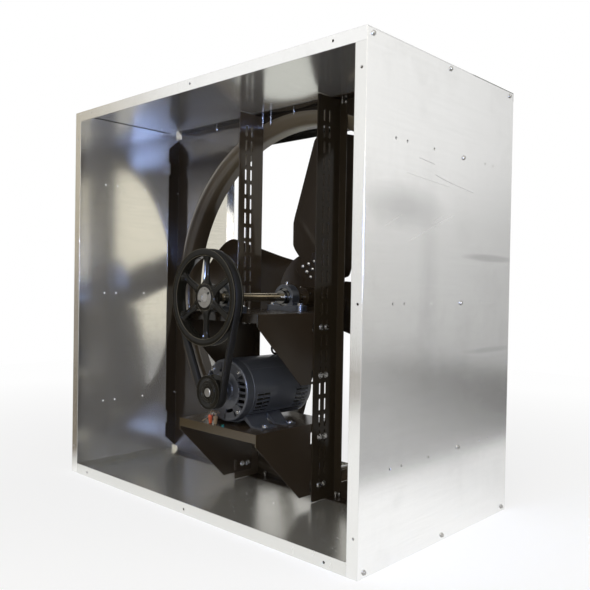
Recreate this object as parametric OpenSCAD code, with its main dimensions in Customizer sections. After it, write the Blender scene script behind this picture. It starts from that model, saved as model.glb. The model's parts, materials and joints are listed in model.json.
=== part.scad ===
// Belt-drive propeller exhaust fan in a square sheet-metal housing.
// +X is to the right as seen from the drive side, +Y runs from the drive side to the
// discharge side and +Z is up. The origin is the middle of the housing's underside.

/* [Housing] */
// Outside width of the housing
house_w = 1081; // [960:1:1300]
// Outside height of the housing
house_h = 1067; // [960:1:1300]
// Depth of the housing from the front flange to the rear flange
house_d = 615; // [560:1:800]
// Thickness of the galvanised sheet
sheet_t = 2; // [1.5:0.1:2.5]
// Width of the front flange
front_flange = 28; // [24:1:40]
// Width of the rear flange
rear_flange = 21; // [16:1:36]
// Height of the laps that join the top and bottom sheets to the sides
lap_h = 22; // [18:1:30]
// Diameter of the holes in the front flange
flange_hole_d = 6; // [4:0.5:9]
// Distance of the front flange holes from the outside edge
flange_hole_inset = 12; // [10:1:16]
// Distance of the outer front flange holes from the middle of each flange
flange_hole_reach = 455; // [300:1:470]
// Diameter of the spare holes in the side sheets
side_hole_d = 5; // [4:0.5:7]
// Height of the upper and lower rows of side holes above and below the middle
side_row_reach = 334; // [200:1:400]

/* [Fan panel] */
// Distance from the front of the housing to the front of the fan panel
panel_setback = 377; // [350:1:390]
// Thickness of the fan panel
panel_t = 2; // [1.5:0.1:3]
// Depth of the panel's turned flanges
panel_flange = 31; // [25:1:40]
// Distance of the ends of a turned flange from the corner
panel_corner = 21; // [15:1:30]
// Length of the cut at each end of a turned flange
panel_mitre = 31; // [20:1:45]
// Depth of the notches in the panel's side flanges
notch_depth = 5.5; // [3:0.5:8]
// Length of the notches in the panel's side flanges
notch_len = 40; // [20:1:60]
// Distance of the notches from the housing's top and underside
notch_at = 100; // [90:1:140]
// Least distance between the venturi's rim and the inside of the housing
ring_margin = 6.5; // [6:0.5:12]
// Radius of the rolled inlet of the venturi
bell_r = 38; // [30:0.5:40]
// Length of the straight throat behind the rolled inlet
throat_len = 24; // [15:1:40]
// Thickness of the venturi ring
ring_t = 2; // [1.5:0.1:3]

/* [Uprights and shelves] */
// Thickness of the upright angles
upright_t = 3; // [2:0.1:4]
// Depth of an upright's web in front of the panel
upright_depth = 93; // [85:1:110]
// Width of an upright's foot on the panel
upright_foot = 22; // [15:1:30]
// Clear width between the two uprights
upright_span = 295; // [285:1:320]
// Sideways offset of the uprights from the middle of the housing
frame_shift = 18.5; // [0:0.5:24]
// Width of the adjusting slots
slot_w = 7.5; // [7:0.1:10]
// Length of the adjusting slots
slot_len = 32; // [24:1:36]
// Pitch of the adjusting slots
slot_pitch = 42; // [40:1:60]
// Distance of the first slot column behind the front edge of the web
slot_inset = 26; // [20:1:30]
// Distance between the two slot columns
slot_gap = 21; // [16:1:26]
// Thickness of the shelf sheet
shelf_t = 3; // [2:0.1:4]
// Reach of the shelves in front of the uprights
shelf_reach = 201; // [200:1:210]
// Height of the shelves' front lip
shelf_lip = 22; // [15:1:28]
// Height of the gussets at the front of a shelf
gusset_front = 30; // [28:1:40]
// Height of the motor shelf's gussets above the housing's underside
gusset_clear = 24.1; // [22:0.1:40]
// Length of the sloping edge of a gusset
gusset_run = 157; // [120:1:170]
// Reach of the gussets behind the front edge of the uprights
gusset_back = 63; // [58:1:70]
// Distance of the upper shelf bolts below the shelf top
shelf_bolt_drop = 38; // [30:1:50]
// Distance of the lower shelf bolts above the gussets' lower edge
gusset_bolt_edge = 21; // [20:1:40]

/* [Fasteners] */
// Shank diameter of the housing screws
screw_d = 4.8; // [4:0.1:6]
// Width across the corners of a housing screw head
screw_head_d = 10; // [8:0.5:12]
// Height of a housing screw head
screw_head_h = 4; // [3:0.5:6]
// Length of the screw below the joint
screw_tail = 12; // [6:1:16]
// Shank diameter of the shelf bolts
bolt_d = 6.6; // [5:0.1:6.8]
// Width across the corners of a shelf bolt head
bolt_head_d = 14; // [11.6:0.1:16]
// Height of a shelf bolt head
bolt_head_h = 5; // [4:0.5:7]
// Clearance of a fastener in its hole
hole_play = 0.2; // [0.1:0.05:0.4]

/* [Fan shaft and bearings] */
// Diameter of the fan shaft
shaft_d = 22; // [20:0.5:25]
// Height of the fan shaft above the bearing shelf
bearing_height = 36.5; // [36:0.1:42]
// Length of a bearing foot
bearing_foot_l = 140; // [125:1:150]
// Width of a bearing foot along the shaft
bearing_foot_w = 38; // [32:1:42]
// Thickness of a bearing foot
bearing_foot_h = 14; // [10:0.5:18]
// Diameter of the bearing body
bearing_body_d = 71; // [66:0.5:72]
// Width of the bearing body along the shaft
bearing_body_w = 28; // [22:1:34]
// Distance between the two bolts of a bearing
bearing_bolt_gap = 105; // [98:1:110]
// Shank diameter of the bearing bolts
bearing_bolt_d = 9.8; // [8:0.1:11]
// Outside diameter of the bearing insert
insert_d = 52; // [48:0.5:56]
// Outside diameter of the insert's inner ring
inner_ring_d = 34; // [31:0.5:38]
// Length of the insert's inner ring
inner_ring_l = 34; // [30:1:38]
// Diameter of the locking collar
collar_d = 38; // [36:0.5:42]
// Length of the locking collar
collar_l = 10; // [6:0.5:12]
// Radial clearance of a running fit
run_play = 0.05; // [0.02:0.01:0.09]
// Distance of the rear bearing's middle in front of the panel face
rear_bearing_back = 22; // [21:1:40]
// Distance of the front bearing's middle behind the front of the shelf
front_bearing_in = 46; // [30:1:60]

/* [Drive] */
// Outside diameter of the driven pulley
driven_d = 246; // [220:1:260]
// Width of the driven pulley's rim
driven_w = 30; // [26:1:32]
// Radial thickness of the driven pulley's rim
driven_rim = 19; // [17:0.5:24]
// Diameter of the driven pulley's hub
driven_hub_d = 70; // [62:1:72]
// Number of spokes
spoke_count = 6; // [4:1:8]
// Width of a spoke
spoke_w = 16; // [10:1:22]
// Depth of a spoke along the shaft
spoke_depth = 9; // [6:0.5:14]
// Outside diameter of the pulley bushing
bushing_d = 52; // [46:0.5:54]
// Outside diameter of the motor pulley
driver_d = 86; // [80:1:92]
// Hub diameter of the motor pulley
driver_hub_d = 36; // [32:0.5:42]
// Width across the outside of the belt
belt_top_w = 15; // [12:0.5:16]
// Width across the inside of the belt
belt_base_w = 10; // [8:0.5:11]
// Thickness of the belt
belt_h = 9; // [7:0.5:10]
// Depth of the belt's outside below the pulley rims
belt_sink = 1.5; // [0.5:0.1:3]
// Clearance between the belt and the grooves
belt_play = 0.4; // [0.3:0.05:0.8]
// Distance of the belt's middle in front of the shelf edge
belt_ahead = 20; // [18:0.5:26]

/* [Motor] */
// Height of the motor shaft above its shelf
motor_height = 88.9; // [86:0.1:96]
// Distance of the motor shaft below the fan shaft
motor_drop = 235.5; // [232:0.5:240]
// Sideways offset of the motor from the middle of its shelf
motor_shift = 8.5; // [0:0.5:16]
// Diameter of the motor shell
motor_d = 160; // [150:1:166]
// Wall of the motor shell
motor_wall = 2.5; // [1.5:0.1:4]
// Length of the motor shell
motor_len = 204; // [190:1:215]
// Distance of the motor shell behind the front of the shelf
motor_in = 50; // [46:1:56]
// Depth of the front end bell
front_bell_l = 27; // [24:0.5:30]
// Depth of the rear end bell
rear_bell_l = 22; // [18:0.5:26]
// Wall of the end bells
bell_wall = 5; // [4:0.1:6]
// Number of vent windows in an end bell
vent_count = 32; // [24:1:34]
// Width of a vent window
vent_w = 7; // [5:0.5:7.5]
// Diameter of the motor shaft
motor_shaft_d = 22; // [19:0.5:24]
// Outside diameter of the motor bearings
motor_bearing_d = 44; // [40:0.5:47]
// Width of the motor bearings
motor_bearing_w = 13; // [10:0.5:15]
// Diameter of the rotor core
rotor_d = 88; // [80:0.5:96]
// Gap between the rotor and the stator
air_gap = 0.5; // [0.4:0.1:1]
// Length of the rotor core and the stator stack
core_len = 90; // [70:1:110]
// Width of the motor base
base_w = 220; // [210:1:234]
// Length of the motor base along the shaft
base_l = 122; // [115:1:135]
// Thickness of the motor base sheet
base_t = 4; // [3:0.5:5]
// Width of the flat of a motor foot
foot_w = 36; // [30:1:40]
// Distance of the foot bolts from the edge of the motor base
foot_bolt_inset = 10; // [9:0.5:14]
// Outside diameter of the lifting eye
eye_d = 32; // [26:1:40]
// Bar diameter of the lifting eye
eye_bar = 6; // [4:0.5:8]
// Diameter of a motor lead
lead_d = 3.2; // [2.4:0.1:4]
// Diameter of the wire nuts
nut_d = 11; // [9:0.5:13]
// Height of the wire nuts
nut_h = 22; // [18:1:25]

/* [Propeller] */
// Direction of the first blade, turned from +X toward +Z
blade_turn = 74.4; // [60:0.1:85]
// Pitch of the blades
blade_pitch = 30; // [24:0.5:32]
// Distance of the blade axis behind the panel face
blade_back = 98; // [96:1:104]
// Clearance between the blade tips and the throat
tip_gap = 9; // [7:0.5:20]
// Radius of the innermost corner of a blade
root_r = 45; // [42:1:52]
// Thickness of a blade
blade_t = 2.5; // [1.5:0.1:3]
// Reach of the leading edge from the blade axis
blade_lead = 112; // [100:0.5:116]
// Reach of the trailing edge from the blade axis
blade_trail = 86; // [76:0.5:92]
// Thickness of the spider arms
arm_t = 4; // [3:0.1:5]
// Diameter of the spider's disc
disc_d = 262; // [240:1:270]
// Thickness of the spider's disc
disc_t = 4; // [3:0.1:5]
// Diameter of the spider's boss
boss_d = 58; // [50:1:64]
// Diameter of the rivets
rivet_d = 7; // [5:0.5:7.5]

/* [Hidden] */
$fn = 96;

galvanised = "#c6c9c7";
zinc = "#d9d8d0";
brown = "#3b342b";
cast_blue = "#49505c";
motor_blue = "#2d3037";
black_iron = "#1d1c1a";
bright_steel = "#b8a67c";
eps = 0.01;
far = 60;

half_w = house_w / 2;
front_y = -house_d / 2;
rear_y = house_d / 2;
mid_z = house_h / 2;
in_x = half_w - sheet_t;
in_z = house_h - sheet_t;
screw_r = screw_d / 2;
screw_hole_r = screw_r + hole_play;

panel_y = front_y + panel_setback;
panel_back = panel_y + panel_t;
open_r = min(half_w, mid_z) - sheet_t - ring_margin;
throat_r = open_r - bell_r;
throat_end = panel_y + bell_r + throat_len;
panel_screw_y = panel_y - panel_flange / 5;
lap_stop = 8;
lap_stop_front = panel_y - panel_flange - lap_stop;
lap_stop_rear = panel_back + lap_stop;
panel_screw_zs = [mid_z - side_row_reach, mid_z, mid_z + side_row_reach];
lap_screw_inset = 20;
lap_screw_end = 30.5;
lap_screw_ys = [front_y + lap_screw_inset, lap_stop_front - lap_screw_end, rear_y - lap_screw_inset];
lap_screw_zs = [lap_h / 2, house_h - lap_h / 2];
side_hole_reach = [62, 165, 206];

web_y = panel_y - upright_depth;
web_low = sheet_t + panel_t;
web_high = in_z - panel_t;
left_in = frame_shift - upright_span / 2;
right_in = frame_shift + upright_span / 2;
foot_mid = upright_t + upright_foot * 0.75;
head_gap = 0.5;
foot_screw_rise = screw_head_d / 2 + head_gap;
foot_screw_zs = [web_low + foot_screw_rise, web_high - foot_screw_rise];
tie_out = foot_mid - screw_head_d / 2 - screw_r - 2 * head_gap;
tie_in = 37;
tie_screw_xs = [left_in - tie_out, left_in + tie_in, right_in - tie_in, right_in + tie_out];
panel_screw_xs = concat([-side_row_reach, 0, side_row_reach], tie_screw_xs);
slot_ys = [web_y + slot_inset, web_y + slot_inset + slot_gap];
slot_first = web_low + slot_pitch;
slot_rows = floor((web_high - slot_first - slot_len) / slot_pitch);
slot_play = (slot_len - slot_w) / 2;
slit_y = web_y - 1;
shelf_y = web_y - shelf_reach;
shelf_gap = 10;
shelf_back = panel_y - shelf_gap;
bearing_top = mid_z - bearing_height;
motor_z = mid_z - motor_drop;
motor_x = frame_shift + motor_shift;
motor_top = motor_z - motor_height;
gusset_h = motor_top - gusset_clear;
shelf_bolt_rise = gusset_h - shelf_bolt_drop - gusset_bolt_edge;
bolt_hole_r = bolt_d / 2 + hole_play;

shaft_r = shaft_d / 2;
insert_r = insert_d / 2;
inner_r = inner_ring_d / 2;
front_bearing_y = shelf_y + front_bearing_in;
rear_bearing_y = panel_y - rear_bearing_back;
bearing_ys = [front_bearing_y, rear_bearing_y];
bearing_bolt_xs = [-bearing_bolt_gap / 2, bearing_bolt_gap / 2];
bearing_hole_r = bearing_bolt_d / 2 + hole_play;
bearing_head_h = 7;
bearing_head_d = bearing_bolt_d * 1.75;
bearing_shoulder = 8;
bolt_end = 4;
insert_ring_w = bearing_body_w - 8;
grease_r = 3;
grease_h = 4;
collar_screw_r = 2.5;

belt_y = shelf_y - belt_ahead;
driven_r = driven_d / 2;
driver_r = driver_d / 2;
belt_at_driven = driven_r - belt_sink - belt_h / 2;
belt_at_driver = driver_r - belt_sink - belt_h / 2;
span = sqrt(pow(motor_x, 2) + pow(motor_drop, 2));
lean = atan2(motor_x, motor_drop);
wrap = asin((belt_at_driven - belt_at_driver) / span);
run_len = sqrt(pow(span, 2) - pow(belt_at_driven - belt_at_driver, 2));
flank = (belt_top_w - belt_base_w) / 2 / belt_h;
driven_front = belt_y - driven_w / 2;
hub_front = driven_front + 7;
hub_back = shelf_y - 2;
spoke_root = 4;
spoke_rib = 4;
groove_floor = 1.5;
bushing_screw_r = 3;
bushing_screw_at = (shaft_r + bushing_d / 2) / 2 + 1;
bushing_screw_angles = [35, 215];
bushing_screw_l = 20;
set_screw_r = 2.5;
set_screw_y = belt_y + 16;
driver_hub_front = -15;
driver_hub_back = 20;
driver_collar = 6;
driver_edge = 3;

motor_y = shelf_y + motor_in;
motor_end = motor_y + motor_len;
motor_r = motor_d / 2;
bell_front = motor_y - front_bell_l;
bell_back = motor_end + rear_bell_l;
motor_shaft_r = motor_shaft_d / 2;
motor_bearing_r = motor_bearing_d / 2;
motor_ring_r = motor_shaft_r + 4;
core_y = motor_y + (motor_len - core_len) / 2;
base_y = motor_y - 2;
motor_hole_ys = [base_y + base_l * 0.16, base_y + base_l * 0.29, base_y + base_l * 0.9];
motor_bolt_ys = [motor_hole_ys[0], motor_hole_ys[2]];
motor_bolt_reach = base_w / 2 - foot_bolt_inset;
motor_bolt_xs = [motor_x - motor_bolt_reach, motor_x + motor_bolt_reach];
eye_y = motor_y + motor_len * 0.77;
vent_r = motor_r - 9;
shell_in = motor_r - motor_wall;
louvre_angles = [6 : 9 : 42];
louvre_l = 30;
louvre_w = 3.2;
louvre_ys = [motor_y + 14, motor_end - 14 - louvre_l];
spigot = 4;
through_r = 2.5;
through_head_r = 5;
through_head_h = 5;
through_at = motor_r - 10;
through_seat = 0.3;
through_angles = [45 : 90 : 315];
motor_bearing_ys = [bell_front + bell_wall, bell_back - bell_wall - motor_bearing_w];
end_turn_l = 22;
end_turn_in = 10;
lead_bend = 4;
lead_y = bell_front - 10;
lead_z = motor_z - motor_r * 0.76;
nut_xs = [motor_x - 44, motor_x - 24];
lead_gap = 2.2;
lead_xs = [nut_xs[0] - lead_gap, nut_xs[0] + lead_gap, nut_xs[1] - lead_gap, nut_xs[1] + lead_gap];
ground_x = motor_x + 4;
cooler_l = 16;
cooler_blades = 8;

blade_count = 4;
blade_y = panel_y + blade_back;
boss_ahead = 60;
boss_behind = 10;
boss_front = blade_y - boss_ahead;
boss_back = blade_y + boss_behind;
disc_ahead = 18;
disc_y = blade_y - disc_ahead;
rivet_in = 34;
rivet_u = root_r + rivet_in;
rivet_w = -25;
rivet_step_u = 12;
rivet_step_w = 15;
tip_r = throat_r - tip_gap;
rivet_head_r = rivet_d * 0.85;
rivet_head_h = 3;
hub_screw_angles = [20, 110];
hub_screw_r = 3;
hub_screw_y = boss_front + 8;
blade_cut = 83;
blade_swell = 159;
blade_heel = 38;
root_w = 12;
tip_round = 23;
tip_ease = 12;
blade_points = [[root_r, -root_w], [root_r + blade_cut, -blade_lead * 0.857],
                [root_r + blade_swell, -blade_lead * 1.01], [tip_r - tip_round, -blade_lead * 0.92],
                [tip_r - tip_ease / 3, -blade_lead * 0.5], [tip_r, 0],
                [tip_r - tip_ease / 4, blade_trail * 0.66], [tip_r - tip_ease, blade_trail * 0.9],
                [tip_r - tip_round, blade_trail], [root_r + blade_heel, blade_trail]];
arm_wide = 50;
arm_reach = 40;
arm_points = [[boss_d * 0.3, -arm_wide * 0.48], [rivet_u - arm_reach * 0.325, rivet_w - arm_wide],
              [rivet_u + arm_reach * 0.35, rivet_w - arm_wide * 0.8], [rivet_u + arm_reach, rivet_w],
              [rivet_u + arm_reach * 0.65, rivet_w + arm_wide * 0.72],
              [rivet_u - arm_reach * 0.45, rivet_w + arm_wide * 0.88],
              [boss_d * 0.3, arm_wide * 0.28]];
shaft_front = hub_front + 1;
shaft_end = boss_back + 6;

// Place of the screws through the foot of the upright on the side s
function foot_screw_x(s) = s > 0 ? right_in + foot_mid : left_in - foot_mid;

// The slot row nearest to a height
function slot_near(z) = slot_first + slot_pitch * round((z - slot_first) / slot_pitch);

// The height nearest to z that a bolt can take in its slot
function bolt_z(z) = slot_near(z) + max(-slot_play, min(slot_play, z - slot_near(z)));

// Heights of the two bolt rows of a shelf
function bolt_rows(top) = [for (rise = [0, shelf_bolt_rise]) bolt_z(top - shelf_bolt_drop - rise)];

// A box between two corners
module box(x0, x1, y0, y1, z0, z1) {
    translate([x0, y0, z0]) cube([x1 - x0, y1 - y0, z1 - z0]);
}

// A cylinder along X, Y or Z
module x_cyl(r, x0, x1, y, z) {
    translate([x0, y, z]) rotate([0, 90, 0]) cylinder(r = r, h = x1 - x0);
}
module y_cyl(r, y0, y1, x = 0, z = 0) {
    translate([x, y0, z]) rotate([-90, 0, 0]) cylinder(r = r, h = y1 - y0);
}
module z_cyl(r, z0, z1, x, y) {
    translate([x, y, z0]) cylinder(r = r, h = z1 - z0);
}

// A profile of radius and Y turned about an axis along Y
module y_turn(x, z, y = 0) {
    translate([x, y, z]) rotate([-90, 0, 0]) rotate_extrude() children();
}

// Turns a piece about the fan's axis, from +X toward +Z
module rotate_about_axis(a) {
    translate([0, 0, mid_z]) rotate([0, -a, 0]) children();
}

// An outline of Y and Z made into a plate across X
module yz_plate(x0, x1, points) {
    translate([x0, 0, 0]) rotate([90, 0, 90]) linear_extrude(x1 - x0) polygon(points);
}

// An outline of X and Y made into a plate across Z
module xy_plate(z0, z1, points) {
    translate([0, 0, z0]) linear_extrude(z1 - z0) polygon(points);
}

// An upright slot cut through a web across X
module web_slot(x0, x1, y, z, w, l) {
    x_cyl(w / 2, x0, x1, y, z - (l - w) / 2);
    x_cyl(w / 2, x0, x1, y, z + (l - w) / 2);
    box(x0, x1, y - w / 2, y + w / 2, z - (l - w) / 2, z + (l - w) / 2);
}

// Holes through both walls of one side sheet
module side_holes(x0, x1) {
    for (z = panel_screw_zs, y = side_hole_reach, s = [-1, 1]) {
        if (abs(s * y - panel_screw_y) > side_hole_d) {
            x_cyl(side_hole_d / 2, x0, x1, s * y, z);
        }
    }
    for (z = panel_screw_zs) x_cyl(screw_hole_r, x0, x1, panel_screw_y, z);
    for (z = lap_screw_zs, y = lap_screw_ys) x_cyl(screw_hole_r, x0, x1, y, z);
}

// One row of front flange holes along X, at a height
module flange_row(z) {
    for (x = [-flange_hole_reach, 0, flange_hole_reach]) {
        y_cyl(flange_hole_d / 2, front_y - far, front_y + sheet_t + eps, x, z);
    }
}

// One row of front flange holes along Z, at a side
module flange_column(x) {
    for (z = [-flange_hole_reach, 0, flange_hole_reach]) {
        y_cyl(flange_hole_d / 2, front_y - far, front_y + sheet_t + eps, x, mid_z + z);
    }
}

module left_side_panel() {
    color(galvanised) difference() {
        union() {
            box(-half_w, -in_x, front_y, rear_y, 0, house_h);
            box(-half_w, -half_w + front_flange, front_y, front_y + sheet_t, 0, house_h);
            box(-half_w, -half_w + rear_flange, rear_y - sheet_t, rear_y, 0, house_h);
        }
        side_holes(-half_w - far, -in_x + eps);
        flange_column(-half_w + flange_hole_inset);
    }
}

module right_side_panel() {
    color(galvanised) difference() {
        union() {
            box(in_x, half_w, front_y, rear_y, 0, in_z);
            box(half_w - front_flange, half_w, front_y, front_y + sheet_t, 0, house_h - front_flange);
            box(half_w - rear_flange, half_w, rear_y - sheet_t, rear_y, 0, house_h - rear_flange);
        }
        box(in_x - eps, half_w + eps, front_y - eps, front_y + sheet_t, house_h - front_flange, house_h);
        box(in_x - eps, half_w + eps, rear_y - sheet_t, rear_y + eps, house_h - rear_flange, house_h);
        side_holes(in_x - eps, half_w + far);
        flange_column(half_w - flange_hole_inset);
    }
}

// The two laps of a top or bottom sheet, which stop clear of the fan panel
module laps(z0, z1) {
    for (s = [-1, 1], y = [[front_y + sheet_t, lap_stop_front], [lap_stop_rear, rear_y - sheet_t]]) {
        x0 = s > 0 ? in_x - sheet_t : -in_x;
        box(x0, x0 + sheet_t, y[0], y[1], z0, z1);
    }
}

// Screw holes through the laps
module lap_holes(z) {
    for (y = lap_screw_ys) x_cyl(screw_hole_r, -in_x - eps, in_x + eps, y, z);
}

module top_panel() {
    front_z = house_h - front_flange;
    rear_z = house_h - rear_flange;
    color(galvanised) difference() {
        union() {
            box(-in_x, half_w, front_y, rear_y, in_z, house_h);
            box(-half_w + front_flange, half_w, front_y, front_y + sheet_t, front_z, house_h);
            box(-half_w + rear_flange, half_w, rear_y - sheet_t, rear_y, rear_z, house_h);
            laps(house_h - lap_h, in_z);
        }
        flange_corner_cuts(in_z - eps, house_h + eps);
        lap_holes(house_h - lap_h / 2);
        flange_row(house_h - flange_hole_inset);
        for (x = panel_screw_xs) z_cyl(screw_hole_r, in_z - eps, house_h + far, x, panel_screw_y);
    }
}

// Room for the left side's flanges where they run up to the top
module flange_corner_cuts(z0, z1) {
    box(-half_w, -half_w + front_flange, front_y - eps, front_y + sheet_t, z0, z1);
    box(-half_w, -half_w + rear_flange, rear_y - sheet_t, rear_y + eps, z0, z1);
}

module bottom_panel() {
    front_x = half_w - front_flange;
    rear_x = half_w - rear_flange;
    color(galvanised) difference() {
        union() {
            box(-in_x, in_x, front_y + sheet_t, rear_y - sheet_t, 0, sheet_t);
            box(-front_x, front_x, front_y, front_y + sheet_t, 0, front_flange);
            box(-rear_x, rear_x, rear_y - sheet_t, rear_y, 0, rear_flange);
            laps(sheet_t, lap_h);
        }
        lap_holes(lap_h / 2);
        flange_row(flange_hole_inset);
        for (x = panel_screw_xs) z_cyl(screw_hole_r, -eps, sheet_t + eps, x, panel_screw_y);
    }
}

// A hex-head screw along X that enters from the side s
module side_screw(s, y, z, tail) {
    x0 = half_w;
    mirror([s > 0 ? 0 : 1, 0, 0]) {
        translate([x0, y, z]) rotate([0, 90, 0]) cylinder(d = screw_head_d, h = screw_head_h, $fn = 6);
        x_cyl(screw_r, x0 - 2 * sheet_t - tail, x0, y, z);
    }
}

module housing_screws() {
    color(zinc) for (s = [-1, 1], y = lap_screw_ys, z = lap_screw_zs) {
        side_screw(s, y, z, screw_tail / 2);
    }
}

module panel_screws() {
    color(zinc) {
        for (s = [-1, 1], z = panel_screw_zs) {
            side_screw(s, panel_screw_y, z, panel_t - sheet_t + screw_tail);
        }
        for (x = panel_screw_xs) {
            translate([x, panel_screw_y, house_h]) cylinder(d = screw_head_d, h = screw_head_h, $fn = 6);
            z_cyl(screw_r, in_z - panel_t - screw_tail, house_h, x, panel_screw_y);
            z_cyl(screw_r, 0, sheet_t + panel_t + screw_tail, x, panel_screw_y);
        }
    }
}

module fan_panel() {
    flange_y = panel_y - panel_flange;
    low = sheet_t;
    low_end = low + panel_corner;
    high_end = in_z - panel_corner;
    wide_end = in_x - panel_corner;
    notch_y = flange_y + notch_depth;
    notch_low = [notch_at, notch_at + notch_len];
    notch_high = [house_h - notch_at - notch_len, house_h - notch_at];
    side_points = [[panel_y, low_end], [flange_y, low_end + panel_mitre],
                   [flange_y, notch_low[0]], [notch_y, notch_low[0]],
                   [notch_y, notch_low[1]], [flange_y, notch_low[1]],
                   [flange_y, notch_high[0]], [notch_y, notch_high[0]],
                   [notch_y, notch_high[1]], [flange_y, notch_high[1]],
                   [flange_y, high_end - panel_mitre], [panel_y, high_end]];
    flat_points = [[-wide_end, panel_y], [panel_mitre - wide_end, flange_y],
                   [wide_end - panel_mitre, flange_y], [wide_end, panel_y]];
    color(brown) difference() {
        union() {
            box(-in_x, in_x, panel_y, panel_back, low, in_z);
            yz_plate(-in_x, -in_x + panel_t, side_points);
            yz_plate(in_x - panel_t, in_x, side_points);
            xy_plate(low, low + panel_t, flat_points);
            xy_plate(in_z - panel_t, in_z, flat_points);
        }
        y_cyl(open_r, panel_y - eps, panel_back + eps, 0, mid_z);
        for (z = panel_screw_zs) x_cyl(screw_hole_r, -in_x - eps, in_x + eps, panel_screw_y, z);
        for (x = panel_screw_xs, z = [low, in_z - panel_t]) {
            z_cyl(screw_hole_r, z - eps, z + panel_t + eps, x, panel_screw_y);
        }
        for (s = [-1, 1], z = foot_screw_zs) {
            y_cyl(screw_hole_r, panel_y - eps, panel_back + eps, foot_screw_x(s), z);
        }
    }
}

// The ring's sheet follows a quarter round from the panel into the straight throat.
// Its rim is a little inside the panel's opening.
module venturi_ring() {
    seat = hole_play;
    color(brown) difference() {
        y_turn(0, mid_z, panel_y) union() {
            difference() {
                translate([throat_r, 0]) square([bell_r - seat, bell_r]);
                translate([open_r, bell_r]) circle(r = bell_r - ring_t);
            }
            translate([throat_r, bell_r]) square([ring_t, throat_len]);
        }
        y_turn(0, mid_z, panel_y) difference() {
            translate([throat_r - 1, -1]) square([bell_r + 1 - seat + 1, bell_r + 1]);
            translate([open_r, bell_r]) circle(r = bell_r);
        }
    }
}

// An angle with its web across X and its foot on the panel, to the side s
module upright(s) {
    web_x = s > 0 ? right_in : left_in - upright_t;
    foot_x = s > 0 ? right_in : left_in - upright_t - upright_foot;
    foot_end = foot_x + upright_t + upright_foot;
    difference() {
        union() {
            box(web_x, web_x + upright_t, web_y, panel_y, web_low, web_high);
            box(foot_x, foot_end, panel_y - upright_t, panel_y, web_low, web_high);
        }
        for (y = slot_ys, k = [0 : slot_rows]) {
            z = slot_first + k * slot_pitch;
            web_slot(web_x - eps, web_x + upright_t + eps, y, z, slot_w, slot_len);
        }
        for (z = foot_screw_zs) {
            y_cyl(screw_hole_r, panel_y - upright_t - eps, panel_y + eps, foot_screw_x(s), z);
        }
    }
}

module left_upright() {
    color(brown) upright(-1);
}

module right_upright() {
    color(brown) upright(1);
}

module upright_screws() {
    head_y = panel_y - upright_t;
    color(zinc) for (s = [-1, 1], z = foot_screw_zs) {
        y_cyl(screw_head_d / 2, head_y - screw_head_h, head_y, foot_screw_x(s), z);
        y_cyl(screw_r, head_y, panel_back + screw_tail / 2, foot_screw_x(s), z);
    }
}

// A shelf with a front lip and two side gussets, whose top is at a height
module shelf(top) {
    gusset_y = web_y + gusset_back;
    gusset = [[shelf_y, top], [shelf_y, top - gusset_front], [shelf_y + gusset_run, top - gusset_h],
              [gusset_y, top - gusset_h], [gusset_y, top]];
    difference() {
        union() {
            box(left_in, right_in, shelf_y, shelf_back, top - shelf_t, top);
            box(left_in, right_in, shelf_y, shelf_y + shelf_t, top - shelf_lip, top);
            yz_plate(left_in, left_in + shelf_t, gusset);
            yz_plate(right_in - shelf_t, right_in, gusset);
        }
        for (z = bolt_rows(top)) {
            for (y = slot_ys) x_cyl(bolt_hole_r, left_in - eps, right_in + eps, y, z);
            web_slot(left_in - eps, right_in + eps, slit_y, z, slot_w, slot_len);
        }
    }
}

module bearing_shelf() {
    color(brown) difference() {
        shelf(bearing_top);
        for (y = bearing_ys, x = bearing_bolt_xs) {
            z_cyl(bearing_hole_r, bearing_top - shelf_t - eps, bearing_top + eps, x, y);
        }
    }
}

module motor_shelf() {
    color(brown) difference() {
        shelf(motor_top);
        for (x = motor_bolt_xs, y = motor_bolt_ys) {
            z_cyl(bolt_hole_r, motor_top - shelf_t - eps, motor_top + eps, x, y);
        }
        z_cyl(screw_hole_r, motor_top - shelf_t - eps, motor_top + eps, ground_x, lead_y);
    }
}

// A bolt along X through a gusset and a web, with its nut inside
module shelf_bolt(s, y, z) {
    head_x = s > 0 ? right_in + upright_t : left_in - upright_t - bolt_head_h;
    nut_x = s > 0 ? right_in - shelf_t - bolt_head_h : left_in + shelf_t;
    low_x = s > 0 ? nut_x - bolt_end : head_x;
    high_x = s > 0 ? head_x : nut_x + bolt_head_h + bolt_end;
    for (x = [head_x, nut_x]) {
        translate([x, y, z]) rotate([0, 90, 0]) cylinder(d = bolt_head_d, h = bolt_head_h, $fn = 6);
    }
    x_cyl(bolt_d / 2, low_x, high_x, y, z);
}

module shelf_bolts() {
    color(zinc) for (s = [-1, 1], top = [bearing_top, motor_top], y = slot_ys) {
        for (z = bolt_rows(top)) shelf_bolt(s, y, z);
    }
}

// A cast pillow block that stands on the bearing shelf
module bearing_housing(y) {
    foot_x = bearing_foot_l / 2;
    foot_y = bearing_foot_w / 2;
    body_y = bearing_body_w / 2;
    shoulder = bearing_body_d / 2;
    foot_top = bearing_top + bearing_foot_h;
    shoulder_top = foot_top + bearing_shoulder;
    color(cast_blue) difference() {
        union() {
            box(-foot_x + foot_y, foot_x - foot_y, y - foot_y, y + foot_y, bearing_top, foot_top);
            for (s = [-1, 1]) z_cyl(foot_y, bearing_top, foot_top, s * (foot_x - foot_y), y);
            y_cyl(bearing_body_d / 2, y - body_y, y + body_y, 0, mid_z);
            box(-shoulder, shoulder, y - body_y, y + body_y, bearing_top, shoulder_top);
        }
        y_cyl(insert_r, y - foot_y - eps, y + foot_y + eps, 0, mid_z);
        for (x = bearing_bolt_xs) z_cyl(bearing_hole_r, bearing_top - eps, foot_top + far, x, y);
        z_cyl(grease_r, mid_z + insert_r - 2, mid_z + bearing_body_d, 0, y);
    }
}

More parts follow.
